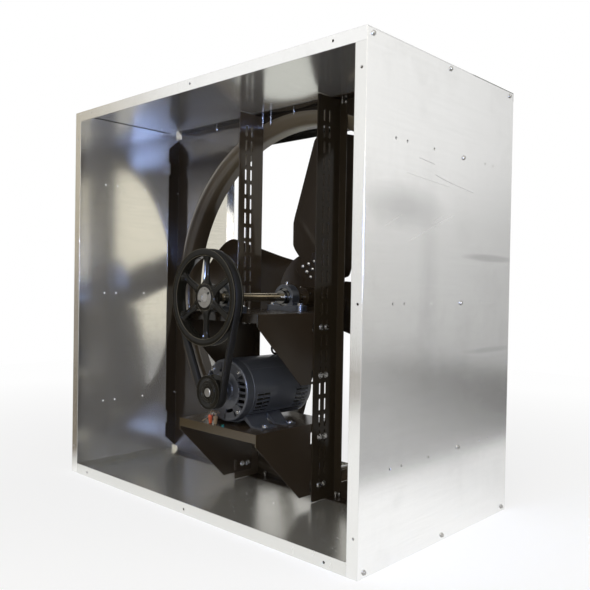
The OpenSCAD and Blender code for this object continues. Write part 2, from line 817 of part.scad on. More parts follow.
module front_bearing_housing() {
    bearing_housing(front_bearing_y);
}

module rear_bearing_housing() {
    bearing_housing(rear_bearing_y);
}

// The outer ring and seals of a bearing insert
module bearing_insert(y) {
    half = insert_ring_w / 2;
    color(bright_steel) difference() {
        y_cyl(insert_r, y - half, y + half, 0, mid_z);
        y_cyl(inner_r + run_play, y - half - eps, y + half + eps, 0, mid_z);
    }
}

module front_bearing_insert() {
    bearing_insert(front_bearing_y);
}

module rear_bearing_insert() {
    bearing_insert(rear_bearing_y);
}

module bearing_bolts() {
    head_z = bearing_top + bearing_foot_h;
    nut_z = bearing_top - shelf_t - bearing_head_h;
    color(zinc) for (y = bearing_ys, x = bearing_bolt_xs) {
        for (z = [head_z, nut_z]) {
            translate([x, y, z]) cylinder(d = bearing_head_d, h = bearing_head_h, $fn = 6);
        }
        z_cyl(bearing_bolt_d / 2, nut_z - bolt_end, head_z, x, y);
    }
}

module grease_fittings() {
    top = mid_z + bearing_body_d / 2;
    color(zinc) for (y = bearing_ys) {
        z_cyl(grease_r, mid_z + insert_r, top + grease_h + 1, 0, y);
        z_cyl(grease_r + 1, top, top + grease_h, 0, y);
        translate([0, y, top + grease_h + 2]) sphere(r = grease_r);
    }
}

// The inner ring of a bearing insert, with its locking collar to the side s
module inner_ring(y, s) {
    collar_y = s > 0 ? y + inner_ring_l / 2 : y - inner_ring_l / 2 - collar_l;
    color(bright_steel) difference() {
        union() {
            y_cyl(inner_r, y - inner_ring_l / 2, y + inner_ring_l / 2, 0, mid_z);
            y_cyl(collar_d / 2, collar_y, collar_y + collar_l, 0, mid_z);
        }
        y_cyl(shaft_r, y - inner_ring_l, y + inner_ring_l, 0, mid_z);
        z_cyl(collar_screw_r, mid_z, mid_z + collar_d, 0, collar_y + collar_l / 2);
    }
}

module front_inner_ring() {
    inner_ring(front_bearing_y, 1);
}

module rear_inner_ring() {
    inner_ring(rear_bearing_y, -1);
}

module collar_screws() {
    collar_off = inner_ring_l / 2 + collar_l / 2;
    collar_ys = [front_bearing_y + collar_off, rear_bearing_y - collar_off];
    color(black_iron) for (y = collar_ys) {
        z_cyl(collar_screw_r, mid_z + shaft_r + hole_play, mid_z + collar_d / 2 + 1, 0, y);
    }
}

module fan_shaft() {
    color(bright_steel) y_cyl(shaft_r, shaft_front, shaft_end, 0, mid_z);
}

// Half of a V groove's outline: radius and distance from the belt's middle
function groove_half(r) = belt_base_w / 2 + belt_play + flank * r;

// The groove that the belt runs in, round a pulley whose belt radius is known
module groove(belt_r, rim_r) {
    low = -belt_h / 2 - groove_floor;
    high = rim_r - belt_r + 1;
    low_w = groove_half(low + belt_h / 2);
    high_w = groove_half(high + belt_h / 2);
    polygon([[belt_r + low, -low_w], [belt_r + high, -high_w],
             [belt_r + high, high_w], [belt_r + low, low_w]]);
}

module driven_pulley() {
    rim_in = driven_r - driven_rim;
    hub_r = driven_hub_d / 2;
    web_y0 = belt_y - spoke_depth / 2;
    web_y1 = belt_y + spoke_depth / 2;
    spoke_in = hub_r - spoke_root;
    spoke_out = rim_in + 2;
    color(black_iron) difference() {
        union() {
            y_turn(0, mid_z, belt_y) difference() {
                translate([rim_in, -driven_w / 2]) square([driven_rim, driven_w]);
                groove(belt_at_driven, driven_r);
            }
            y_cyl(hub_r, hub_front, hub_back, 0, mid_z);
            for (k = [0 : spoke_count - 1]) {
                translate([0, 0, mid_z]) rotate([0, 90 - k * 360 / spoke_count, 0]) {
                    box(spoke_in, spoke_out, web_y0, web_y1, -spoke_w / 2, spoke_w / 2);
                    box(spoke_in, spoke_out, web_y0 - spoke_rib, web_y1 + spoke_rib, -2, 2);
                }
            }
        }
        y_cyl(bushing_d / 2, hub_front - eps, hub_back + eps, 0, mid_z);
    }
}

module pulley_bushing() {
    color("#a8a59b") difference() {
        y_cyl(bushing_d / 2, hub_front, hub_back, 0, mid_z);
        y_cyl(shaft_r, hub_front - eps, hub_back + eps, 0, mid_z);
        for (a = bushing_screw_angles) rotate_about_axis(a) {
            y_cyl(bushing_screw_r, hub_front - eps, hub_front + bushing_screw_l, bushing_screw_at, 0);
        }
    }
}

module bushing_screws() {
    color(black_iron) for (a = bushing_screw_angles) rotate_about_axis(a) {
        y_cyl(bushing_screw_r, hub_front + 4, hub_front + bushing_screw_l, bushing_screw_at, 0);
    }
}

// The belt's section at a radius
module belt_section(r) {
    polygon([[r - belt_h / 2, -belt_base_w / 2], [r + belt_h / 2, -belt_top_w / 2],
             [r + belt_h / 2, belt_top_w / 2], [r - belt_h / 2, belt_base_w / 2]]);
}

// The belt lies round both pulleys. It is drawn upright from the motor's axis to the fan's
// axis and then leaned over to meet them.
module drive_belt() {
    color("#151515") translate([motor_x, belt_y, motor_z]) rotate([0, -lean, 0]) {
        translate([0, 0, span]) rotate([0, wrap, 0]) rotate([90, 0, 0]) mirror([0, 0, 1]) {
            rotate_extrude(angle = 180 + 2 * wrap) belt_section(belt_at_driven);
        }
        rotate([0, 180 - wrap, 0]) rotate([90, 0, 0]) mirror([0, 0, 1]) {
            rotate_extrude(angle = 180 - 2 * wrap) belt_section(belt_at_driver);
        }
        for (s = [0, 1]) mirror([s, 0, 0]) rotate([0, wrap, 0]) {
            linear_extrude(run_len) belt_section(belt_at_driver);
        }
    }
}

module motor_shell() {
    color(motor_blue) difference() {
        y_cyl(motor_r, motor_y, motor_end, motor_x, motor_z);
        y_cyl(shell_in, motor_y - eps, motor_end + eps, motor_x, motor_z);
        for (s = [0, 180], a = louvre_angles, y = louvre_ys) {
            translate([motor_x, 0, motor_z]) rotate([0, s + a, 0]) {
                box(shell_in - 2, motor_r + 2, y, y + louvre_l, -louvre_w / 2, louvre_w / 2);
            }
        }
        z_cyl(eye_bar / 2, motor_z + shell_in - 2, motor_z + motor_r + eps, motor_x, eye_y);
    }
}

// A dished end bell, drawn with its face toward -Y and its rim at 0
module end_bell(depth, hub_hole_r) {
    face_r = motor_r * 0.62;
    seat_r = motor_bearing_r + 6;
    dish_y = -depth + bell_wall;
    difference() {
        y_turn(0, 0) polygon([
            [motor_bearing_r, -depth], [face_r, -depth], [vent_r + 3, -depth * 0.5],
            [motor_r, -depth * 0.35], [motor_r, 0], [shell_in, 0], [shell_in, spigot],
            [shell_in - bell_wall, spigot], [shell_in - bell_wall, -depth * 0.2],
            [face_r - 3, dish_y], [seat_r, dish_y], [seat_r, dish_y + motor_bearing_w],
            [motor_bearing_r, dish_y + motor_bearing_w]
        ]);
        for (k = [0 : vent_count - 1]) {
            rotate([0, (k + 0.5) * 360 / vent_count, 0]) {
                box(face_r - 2, vent_r, -depth - 1, spigot + 1, -vent_w / 2, vent_w / 2);
            }
        }
        for (a = through_angles) rotate([0, a, 0]) {
            y_cyl(through_r + hole_play, -depth - 1, spigot + 1, through_at, 0);
            y_cyl(through_head_r + 1, -depth - 1, -depth * through_seat, through_at, 0);
        }
    }
    y_turn(0, 0) polygon([
        [hub_hole_r, -depth - 3], [seat_r - 2, -depth - 3], [seat_r - 2, -depth + 1],
        [motor_bearing_r, -depth + 1], [motor_bearing_r, -depth], [hub_hole_r, -depth]
    ]);
}

module motor_front_bell() {
    color("#4b4c49") difference() {
        translate([motor_x, motor_y, motor_z]) end_bell(front_bell_l, motor_shaft_r + 1);
        for (x = lead_xs) y_cyl(lead_d / 2 + hole_play, bell_front - far, motor_y + 10, x, lead_z);
    }
}

module motor_rear_bell() {
    color(motor_blue) translate([motor_x, motor_end, motor_z]) mirror([0, 1, 0]) {
        end_bell(rear_bell_l, motor_shaft_r - 5);
    }
}

// The laminated stack with its end turns
module motor_stator() {
    bore = rotor_d / 2 + air_gap;
    core_end = core_y + core_len;
    color("#7c4a2b") difference() {
        union() {
            y_cyl(shell_in, core_y, core_end, motor_x, motor_z);
            y_cyl(shell_in - end_turn_in, core_y - end_turn_l, core_end + end_turn_l, motor_x, motor_z);
        }
        y_cyl(bore, core_y - far, core_end + far, motor_x, motor_z);
        y_cyl(bore + 5, core_y - far, core_y, motor_x, motor_z);
        y_cyl(bore + 5, core_end, core_end + far, motor_x, motor_z);
        for (a = through_angles) translate([motor_x, 0, motor_z]) rotate([0, a, 0]) {
            y_cyl(through_r + 1, core_y - far, core_end + far, through_at, 0);
        }
    }
}

module motor_through_bolts() {
    head_y = motor_y - front_bell_l * through_seat;
    nut_y = motor_end + rear_bell_l * through_seat;
    color(zinc) for (a = through_angles) translate([motor_x, 0, motor_z]) rotate([0, a, 0]) {
        y_cyl(through_r, head_y, nut_y, through_at, 0);
        for (y = [head_y - through_head_h, nut_y]) translate([through_at, y, 0]) rotate([-90, 0, 0]) {
            cylinder(r = through_head_r, h = through_head_h, $fn = 6);
        }
    }
}

// A pressed saddle that runs under the shell, with two spread feet on each side
module motor_base() {
    half = base_w / 2;
    knee_x = half - foot_w;
    saddle_top = motor_height - motor_r + 20;
    saddle_low = saddle_top - 10;
    strap_top = motor_top + saddle_top;
    cheek = motor_r * 0.62;
    saddle = [[-half, 0], [-half, base_t], [-knee_x, base_t], [-cheek, saddle_top],
              [cheek, saddle_top], [knee_x, base_t], [half, base_t], [half, 0],
              [knee_x - base_t, 0], [cheek - base_t * 2, saddle_low],
              [-cheek + base_t * 2, saddle_low], [-knee_x + base_t, 0]];
    notch_y = base_y + base_l * 0.58;
    color(motor_blue) difference() {
        union() {
            translate([motor_x, base_y + base_l, motor_top]) rotate([90, 0, 0]) {
                linear_extrude(base_l) polygon(saddle);
            }
            intersection() {
                y_cyl(motor_r + base_t, base_y, base_y + base_l, motor_x, motor_z);
                box(motor_x - cheek, motor_x + cheek, base_y, base_y + base_l, motor_top, strap_top);
            }
        }
        y_cyl(motor_r, base_y - eps, base_y + base_l + eps, motor_x, motor_z);
        for (s = [-1, 1]) foot_notch(s, notch_y, half);
        for (x = motor_bolt_xs, y = motor_hole_ys) {
            z_cyl(bolt_hole_r, motor_top - eps, motor_top + far, x, y);
        }
    }
}

// The gap between the two feet on the side s
module foot_notch(s, y, half) {
    wide = 17;
    inner = half - foot_w - 22;
    points = [[motor_x + s * inner, y - wide / 3], [motor_x + s * (half + 1), y - wide],
              [motor_x + s * (half + 1), y + wide], [motor_x + s * inner, y + wide / 3]];
    xy_plate(motor_top - eps, motor_top + motor_height / 2, points);
}

module motor_foot_bolts() {
    head_z = motor_top + base_t;
    nut_z = motor_top - shelf_t - bolt_head_h;
    color(zinc) for (x = motor_bolt_xs, y = motor_bolt_ys) translate([x, y, 0]) {
        for (z = [head_z, nut_z]) {
            translate([0, 0, z]) cylinder(d = bolt_head_d, h = bolt_head_h, $fn = 6);
        }
        z_cyl(bolt_d / 2, nut_z - bolt_end, head_z, 0, 0);
    }
}

module lifting_eye() {
    shell_top = motor_z + motor_r;
    ring_r = (eye_d - eye_bar) / 2;
    color(black_iron) {
        translate([motor_x, eye_y, shell_top + eye_d / 2]) rotate([0, 90, 0]) {
            rotate_extrude() translate([ring_r, 0]) circle(d = eye_bar);
        }
        z_cyl(eye_bar / 2 - hole_play, shell_top - motor_wall, shell_top + eye_bar, motor_x, eye_y);
    }
}

// The outer ring and seals of a motor bearing
module motor_bearing(y) {
    color(bright_steel) difference() {
        y_cyl(motor_bearing_r, y, y + motor_bearing_w, motor_x, motor_z);
        y_cyl(motor_ring_r + run_play, y - 1, y + motor_bearing_w + 1, motor_x, motor_z);
    }
}

module motor_front_bearing() {
    motor_bearing(motor_bearing_ys[0]);
}

module motor_rear_bearing() {
    motor_bearing(motor_bearing_ys[1]);
}

module motor_inner_rings() {
    color(bright_steel) for (y = motor_bearing_ys) difference() {
        y_cyl(motor_ring_r, y, y + motor_bearing_w, motor_x, motor_z);
        y_cyl(motor_shaft_r, y - 1, y + motor_bearing_w + 1, motor_x, motor_z);
    }
}

// Pairs of leads come out of the front bell, turn down and end in the wire nuts
module motor_leads() {
    color("#b8836a") for (x = lead_xs) {
        z_cyl(lead_d / 2, motor_top + nut_h, lead_z - lead_bend, x, lead_y);
        translate([x, lead_y + lead_bend, lead_z - lead_bend]) rotate([0, -90, 0]) rotate([0, 0, -90]) {
            rotate_extrude(angle = 90) translate([lead_bend, 0]) circle(d = lead_d);
        }
        y_cyl(lead_d / 2, lead_y + lead_bend, motor_y - 2, x, lead_z);
    }
}

// A wire nut that stands on the shelf with its mouth up
module nut_cap(x) {
    taper_h = nut_h * 0.6;
    translate([x, lead_y, motor_top]) cylinder(d1 = nut_d * 0.7, d2 = nut_d, h = taper_h);
    z_cyl(nut_d / 2, motor_top + taper_h, motor_top + nut_h, x, lead_y);
}

module wire_nut_1() {
    color("#c24a26") nut_cap(nut_xs[0]);
}

module wire_nut_2() {
    color("#b9a27c") nut_cap(nut_xs[1]);
}

module ground_screw() {
    color("#2f6f5f") translate([ground_x, lead_y, motor_top]) {
        cylinder(d = screw_head_d, h = screw_head_h, $fn = 6);
        z_cyl(screw_r, -shelf_t - bolt_end, 0, 0, 0);
    }
}

// The space that a blade and its rivets take from the spider's disc
module blade_room() {
    translate([0, 0, -hole_play]) linear_extrude(blade_t + 2 * hole_play) polygon(blade_points);
    rivet_grid() translate([0, 0, -far / 6]) {
        cylinder(r = rivet_head_r + hole_play, h = blade_t + arm_t + far / 3);
    }
}

// The places of one blade's rivets
module rivet_grid() {
    for (i = [-1 : 1], j = [-1 : 1]) {
        u = rivet_u + rivet_step_u * (i + j);
        w = rivet_w + rivet_step_w * (j - i);
        translate([u, w, 0]) children();
    }
}

// The spider: a boss, a disc with room for the blades and one pitched arm behind each blade
module propeller_hub() {
    boss_r = boss_d / 2;
    color(brown) difference() {
        union() {
            difference() {
                y_cyl(disc_d / 2, disc_y, disc_y + disc_t, 0, mid_z);
                for (k = [0 : blade_count - 1]) blade_place(k) blade_room();
            }
            y_cyl(boss_r, boss_front, boss_back, 0, mid_z);
            for (k = [0 : blade_count - 1]) blade_place(k) {
                difference() {
                    translate([0, 0, blade_t]) linear_extrude(arm_t) polygon(arm_points);
                    rivet_holes();
                }
            }
        }
        y_cyl(shaft_r, boss_front - eps, boss_back + eps, 0, mid_z);
        for (a = hub_screw_angles) rotate_about_axis(a) {
            x_cyl(hub_screw_r, 0, boss_r + 1, hub_screw_y, 0);
        }
    }
}

module hub_screws() {
    color(zinc) for (a = hub_screw_angles) {
        rotate_about_axis(a) x_cyl(hub_screw_r, shaft_r + hole_play, boss_d / 2 + 2, hub_screw_y, 0);
    }
}

// Puts a blade, drawn flat with X along the blade and Y along its chord, in its place
module blade_place(k) {
    translate([0, blade_y, mid_z]) rotate([0, -blade_turn - k * 360 / blade_count, 0]) {
        rotate([blade_pitch - 90, 0, 0]) children();
    }
}

module rivet_holes() {
    rivet_grid() translate([0, 0, -far]) cylinder(d = rivet_d, h = 2 * far);
}

// A broad blade with a pointed root
module blade(k) {
    color(brown) blade_place(k) difference() {
        linear_extrude(blade_t) polygon(blade_points);
        rivet_holes();
    }
}

module blade_1() {
    blade(0);
}

module blade_2() {
    blade(1);
}

module blade_3() {
    blade(2);
}

module blade_4() {
    blade(3);
}

module blade_rivets() {
    color(zinc) for (k = [0 : blade_count - 1]) blade_place(k) rivet_grid() {
        cylinder(d = rivet_d, h = blade_t + arm_t);
        translate([0, 0, -rivet_head_h]) cylinder(r = rivet_head_r, h = rivet_head_h);
        translate([0, 0, blade_t + arm_t]) cylinder(r = rivet_head_r, h = rivet_head_h);
    }
}

module motor_shaft() {
    color(bright_steel) y_cyl(motor_shaft_r, belt_y - 2, bell_back - 4, motor_x, motor_z);
}

module rotor_core() {
    color("#6d6f70") difference() {
        y_cyl(rotor_d / 2, core_y, core_y + core_len, motor_x, motor_z);
        y_cyl(motor_shaft_r, core_y - 1, core_y + core_len + 1, motor_x, motor_z);
    }
}

// A small fan on the motor shaft behind the core
module cooling_fan() {
    fan_y = core_y + core_len + 4;
    fan_r = rotor_d / 2 - 2;
    color("#6d6f70") difference() {
        union() {
            y_cyl(motor_shaft_r + 6, fan_y, fan_y + cooler_l, motor_x, motor_z);
            y_cyl(fan_r, fan_y, fan_y + 3, motor_x, motor_z);
            for (k = [1 : cooler_blades]) {
                translate([motor_x, 0, motor_z]) rotate([0, k * 360 / cooler_blades, 0]) {
                    box(motor_shaft_r + 3, fan_r - 2, fan_y, fan_y + cooler_l, -1.5, 1.5);
                }
            }
        }
        y_cyl(motor_shaft_r, fan_y - 1, fan_y + cooler_l + 1, motor_x, motor_z);
    }
}

// Half width of the motor pulley's groove at a radius
function driver_half(r) = groove_half(r - belt_at_driver + belt_h / 2);

// The fixed flange and the long hub of the motor pulley
module motor_pulley_hub() {
    hub_r = driver_hub_d / 2;
    collar_r = hub_r + driver_collar;
    edge = driver_half(driver_r);
    color(black_iron) difference() {
        y_turn(motor_x, motor_z, belt_y) polygon([
            [motor_shaft_r, driver_hub_front], [hub_r, driver_hub_front], [hub_r, driver_half(hub_r)],
            [driver_r, edge], [driver_r, edge + driver_edge], [collar_r, edge + driver_edge + 5],
            [collar_r, driver_hub_back], [motor_shaft_r, driver_hub_back]
        ]);
        z_cyl(set_screw_r, motor_z, motor_z + driver_d, motor_x, set_screw_y);
    }
}

// The movable flange that screws along the hub
module motor_pulley_flange() {
    bore = driver_hub_d / 2 + hole_play;
    face = driver_half(driver_r) + driver_edge;
    color(black_iron) y_turn(motor_x, motor_z, belt_y) polygon([
        [bore, -driver_half(bore)], [bore, driver_hub_front - 2], [bore + 8, driver_hub_front - 2],
        [bore + 10, -face], [driver_r - 5, -face], [driver_r - 3, -face - 2], [driver_r, -face - 1],
        [driver_r, -driver_half(driver_r)]
    ]);
}

module pulley_set_screw() {
    top = motor_z + driver_hub_d / 2 + driver_collar;
    color(zinc) z_cyl(set_screw_r, motor_z + motor_shaft_r + hole_play, top, motor_x, set_screw_y);
}

left_side_panel();
right_side_panel();
top_panel();
bottom_panel();
housing_screws();
fan_panel();
venturi_ring();
panel_screws();
left_upright();
right_upright();
upright_screws();
bearing_shelf();
motor_shelf();
shelf_bolts();
front_bearing_housing();
rear_bearing_housing();
front_bearing_insert();
rear_bearing_insert();
bearing_bolts();
grease_fittings();
motor_shell();
motor_front_bell();
motor_rear_bell();
motor_stator();
motor_base();
motor_through_bolts();
motor_foot_bolts();
lifting_eye();
motor_front_bearing();
motor_rear_bearing();
motor_leads();
wire_nut_1();
wire_nut_2();
ground_screw();
drive_belt();
fan_shaft();
front_inner_ring();
rear_inner_ring();
collar_screws();
driven_pulley();
pulley_bushing();
bushing_screws();
propeller_hub();
blade_1();
blade_2();
blade_3();
blade_4();
blade_rivets();
hub_screws();
motor_shaft();
motor_inner_rings();
rotor_core();
cooling_fan();
motor_pulley_hub();
motor_pulley_flange();
pulley_set_screw();
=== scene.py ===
import json
import math

import bpy
import numpy as np
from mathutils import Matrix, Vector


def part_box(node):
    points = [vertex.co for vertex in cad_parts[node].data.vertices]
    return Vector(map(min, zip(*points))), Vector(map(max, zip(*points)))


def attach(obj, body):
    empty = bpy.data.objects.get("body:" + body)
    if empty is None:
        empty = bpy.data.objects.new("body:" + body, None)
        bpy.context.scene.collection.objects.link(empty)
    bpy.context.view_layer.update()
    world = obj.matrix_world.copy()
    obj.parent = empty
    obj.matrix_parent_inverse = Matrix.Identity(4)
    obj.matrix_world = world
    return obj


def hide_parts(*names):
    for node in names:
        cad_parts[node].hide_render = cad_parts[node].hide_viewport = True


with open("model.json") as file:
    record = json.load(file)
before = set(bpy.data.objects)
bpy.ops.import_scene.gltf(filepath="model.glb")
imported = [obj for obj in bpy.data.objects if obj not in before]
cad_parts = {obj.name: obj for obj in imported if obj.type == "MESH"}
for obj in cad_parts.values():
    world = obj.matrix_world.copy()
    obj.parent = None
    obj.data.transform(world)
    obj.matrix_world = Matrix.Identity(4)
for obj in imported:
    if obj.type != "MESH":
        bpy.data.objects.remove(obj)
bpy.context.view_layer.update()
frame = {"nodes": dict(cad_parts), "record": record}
nodes = frame["nodes"]
print("frame loaded:", len(nodes), "nodes")

# the photograph's camera, fitted to the housing's edges
cameraPlan = {
    "place": (1.3444, -1.3550, 0.5698),
    "turnDeg": (89.116, -0.968, 43.128),
    "lens": 41.92,
    "sensor": 36.0,
}


def addObject(name, data):
    thing = bpy.data.objects.new(name, data)
    bpy.context.scene.collection.objects.link(thing)
    return thing


cameraData = bpy.data.cameras.new("camera")
cameraData.lens = cameraPlan["lens"]
cameraData.sensor_width = cameraPlan["sensor"]
cameraData.clip_end = 60.0
cameraObject = addObject("camera", cameraData)
cameraObject.location = cameraPlan["place"]
cameraObject.rotation_euler = [math.radians(a) for a in cameraPlan["turnDeg"]]
bpy.context.scene.camera = cameraObject
bpy.context.scene.view_settings.view_transform = "Standard"
print("camera set")


def put(tree, kind, settings=None, **inputs):
    # adds a shader node; an input that is a socket gets linked, any other is its value
    node = tree.nodes.new("ShaderNode" + kind)
    for key, value in (settings or {}).items():
        setattr(node, key, value)
    for key, value in inputs.items():
        name = int(key[1:]) if key[1:].isdigit() else key.replace("_", " ")  # i0 is the first input
        socket = node.inputs[name]
        if isinstance(value, bpy.types.NodeSocket):
            tree.links.new(value, socket)
        else:
            socket.default_value = value
    return node


def ramp(tree, factor, stops, smooth=True):
    # colour ramp; a stop is (place, grey) or (place, (r, g, b))
    node = put(tree, "ValToRGB", i0=factor)
    node.color_ramp.interpolation = "EASE" if smooth else "LINEAR"
    marks = node.color_ramp.elements
    while len(marks) < len(stops):
        marks.new(0.5)
    for mark, (place, tone) in zip(marks, stops):
        mark.position = place
        rgb = tone if isinstance(tone, tuple) else (tone, tone, tone)
        mark.color = (*rgb, 1.0)
    return node.outputs["Color"]


def math2(tree, operation, a, b=0.0):
    return put(tree, "Math", {"operation": operation}, i0=a, i1=b).outputs[0]


def times(tree, a, b):
    return math2(tree, "MULTIPLY", a, b)


def mapped(tree, value, fromMin, fromMax, toMin=0.0, toMax=1.0):
    # a value stretched from one range to another and held inside it
    node = put(tree, "MapRange", Value=value, From_Min=fromMin, From_Max=fromMax, To_Min=toMin, To_Max=toMax)
    return node.outputs[0]


def axesOf(tree, vector):
    # the X, Y and Z sockets of a vector
    return put(tree, "SeparateXYZ", i0=vector).outputs


def vector2(tree, operation, a, b=(0.0, 0.0, 0.0)):
    # a length, distance or product is a number, any other result a vector
    node = put(tree, "VectorMath", {"operation": operation}, i0=a, i1=b)
    return node.outputs["Value" if operation in ("LENGTH", "DISTANCE", "DOT_PRODUCT") else "Vector"]


def faceNormal(tree):
    return put(tree, "NewGeometry").outputs["Normal"]


def mixTone(tree, factor, a, b):
    # mixes two colours, each a socket or (r, g, b)
    a, b = (tone if isinstance(tone, bpy.types.NodeSocket) else (*tone, 1.0) for tone in (a, b))
    return put(tree, "Mix", {"data_type": "RGBA"}, i0=factor, i6=a, i7=b).outputs[2]


def noise(tree, coords, scale, detail=3.0, rough=0.5, stretch=None):
    # noise on Object coordinates, stretched along an axis if asked
    if stretch:
        coords = put(tree, "Mapping", Vector=coords, Scale=stretch).outputs[0]
    node = put(tree, "TexNoise", Vector=coords, Scale=scale, Detail=detail, Roughness=rough)
    return node.outputs["Fac"]


def startMaterial(name):
    material = bpy.data.materials.new(name)
    material.use_nodes = True
    tree = material.node_tree
    shader = tree.nodes["Principled BSDF"]
    coords = put(tree, "TexCoord").outputs["Object"]
    return material, tree, shader, coords


def setPlain(shader, **values):
    # constant values go on the shader's own sockets
    for key, value in values.items():
        shader.inputs[key.replace("_", " ")].default_value = value


def edgeMask(tree, radius, low=0.02, high=0.25):
    # how far the rounded normal leans away from the flat one: 1 along edges
    rounded = put(tree, "Bevel", {"samples": 4}, Radius=radius)
    flat = faceNormal(tree)
    lean = math2(tree, "SUBTRACT", 1.0, vector2(tree, "DOT_PRODUCT", rounded.outputs[0], flat))
    return mapped(tree, lean, low, high), rounded.outputs[0]


def finishSurface(tree, shader, colour, rough, height=None, strength=0.1, distance=0.001, normal=None):
    tree.links.new(colour, shader.inputs["Base Color"])
    tree.links.new(rough, shader.inputs["Roughness"])
    if height is not None:
        bump = put(tree, "Bump", Height=height, Strength=strength, Distance=distance)
        if normal is not None:
            tree.links.new(normal, bump.inputs["Normal"])
        normal = bump.outputs[0]
    if normal is not None:
        tree.links.new(normal, shader.inputs["Normal"])


def addMarks(tree, coords, tone, marks):
    # soft ellipsoids of another tone: each share falls from 1 inside a mark to 0 at its size
    for centre, size, inner, strength, tint in marks:
        away = vector2(tree, "DIVIDE", vector2(tree, "SUBTRACT", coords, centre), size)
        share = mapped(tree, vector2(tree, "LENGTH", away), 1.0, inner)
        tone = mixTone(tree, times(tree, share, strength), tone, tint)
    return tone


# galvanised sheet: spangle, rolling streaks, smudges and a few scratches
galvanisedPlan = {"tone": (0.935, 0.935, 0.925), "darkTone": (0.75, 0.75, 0.735), "rough": (0.12, 0.17),
                  "spangle": 70.0, "edge": 0.0014, "metal": 0.86, "brush": 0.16, "smudge": 0.30, "grain": 0.10,
                  "streak": 0.12, "bump": 0.012}
dustyPlan = dict(galvanisedPlan, tone=(0.565, 0.55, 0.485), darkTone=(0.41, 0.395, 0.34), rough=(0.20, 0.27),
                 metal=0.82, brush=0.10, frontTone=(0.76, 0.76, 0.73), bump=0.0)
outerPlan = dict(galvanisedPlan, rough=(0.15, 0.20), brush=0.055, frontTone=(0.83, 0.83, 0.81))
# the top sheet: painted shade on its rear faces that look down or sideways
topPlan = dict(galvanisedPlan, brush=0.09, shadeY=0.09)
leftPlan = dict(galvanisedPlan, tone=(0.93, 0.925, 0.90), metal=0.82)  # a thin film of dust


def makeGalvanised(name, plan, scratches=(), marks=()):
    material, tree, shader, coords = startMaterial(name)
    setPlain(shader, Metallic=plan["metal"])
    spangle = put(tree, "TexVoronoi", Vector=coords, Scale=plan["spangle"]).outputs["Color"]
    grain = put(tree, "SeparateColor", i0=spangle).outputs[0]
    streak = noise(tree, coords, 9.0, 4.0, 0.6, (14.0, 14.0, 0.6))
    cloud = noise(tree, coords, 3.2, 5.0, 0.55)
    smudge = ramp(tree, noise(tree, coords, 7.0, 6.0, 0.62), [(0.50, 0.0), (0.72, 1.0)])
    mask, rounded = edgeMask(tree, plan["edge"])
    tone = mixTone(tree, times(tree, smudge, plan["smudge"]), plan["tone"], plan["darkTone"])
    tone = mixTone(tree, times(tree, grain, plan["grain"]), tone, (0.92, 0.92, 0.92))
    tone = mixTone(tree, times(tree, streak, plan["streak"]), tone, (0.66, 0.665, 0.67))
    brush = noise(tree, coords, 210.0, 3.0, 0.6, (1.0, 0.035, 1.0))
    brushed = mapped(tree, brush, 0.40, 0.72, 0.0, plan["brush"])
    tone = mixTone(tree, brushed, tone, (0.50, 0.50, 0.49))
    if "shadeY" in plan:  # painted shade behind a place along Y, on faces that look down or sideways
        along = axesOf(tree, coords)["Y"]
        behind = mapped(tree, along, plan["shadeY"], plan["shadeY"] + 0.02)
        upward = axesOf(tree, faceNormal(tree))["Z"]
        inward = mapped(tree, upward, 0.5, 0.3)
        tone = mixTone(tree, times(tree, behind, inward), tone, (0.17, 0.168, 0.15))
    mixed = math2(tree, "ADD", times(tree, cloud, 0.55), times(tree, streak, 0.45))
    rough = mapped(tree, mixed, 0.3, 0.7, *plan["rough"])
    rough = math2(tree, "ADD", rough, times(tree, grain, 0.02))
    for place, turn, length, width, tint in scratches:
        line = put(tree, "Mapping", {"vector_type": "TEXTURE"}, Vector=coords,
                   Location=place, Rotation=turn)
        wobble = noise(tree, coords, 30.0, 2.0)
        split = axesOf(tree, line.outputs[0])
        across = math2(tree, "ADD", split["Z"], times(tree, wobble, width * 3.0))
        near = mapped(tree, math2(tree, "ABSOLUTE", across), 0.0, width, 1.0, 0.0)
        inside = math2(tree, "COMPARE", split["Y"], length / 2)
        inside.node.inputs[2].default_value = length / 2
        mark = times(tree, times(tree, near, inside), 0.8)
        tone = mixTone(tree, mark, tone, tint)
        rough = math2(tree, "ADD", rough, times(tree, mark, 0.25))
    tone = addMarks(tree, coords, tone, marks)
    if "frontTone" in plan:  # another tone on faces that look to the front
        facing = axesOf(tree, faceNormal(tree))["Y"]
        front = mapped(tree, facing, -0.6, -0.8)
        tone = mixTone(tree, front, tone, plan["frontTone"])
    tone = mixTone(tree, times(tree, mask, 0.5), tone, (0.82, 0.82, 0.81))
    finishSurface(tree, shader, tone, rough, streak, plan["bump"], 0.0004, rounded)
    return material


# brown enamel: dark gloss with dust, orange peel and worn edges
brownPlan = {"tone": (0.021, 0.0158, 0.0110), "lightTone": (0.0235, 0.0178, 0.0124), "rough": (0.10, 0.13),
             "edgeTone": (0.075, 0.060, 0.042), "edge": 0.0012, "coat": 0.0, "coatRough": 0.08, "specular": 0.31,
             "dust": 0.012}
# the venturi's enamel: a lighter copy of the brown, painted light, with a painted highlight fading in over its top
ringPaintPlan = dict(brownPlan, tone=(0.036, 0.0275, 0.0185), lightTone=(0.041, 0.0315, 0.0212), rough=(0.13, 0.17),
                     edgeTone=(0.11, 0.090, 0.062), specular=0.34, dust=0.02,
                     band=("Z", 0.80, 1.02, (0.150, 0.124, 0.086)))
uprightPaintPlan = dict(brownPlan, tone=(0.0240, 0.0184, 0.0117), lightTone=(0.0266, 0.0204, 0.0130),
                        rough=(0.14, 0.18), specular=0.13)
# the left upright's enamel: a lighter copy of the brown, painted light
litLeftUprightPlan = dict(brownPlan, tone=(0.050, 0.0375, 0.0250), lightTone=(0.055, 0.0412, 0.0275),
                       rough=(0.12, 0.15), edgeTone=(0.085, 0.068, 0.046), specular=0.36)
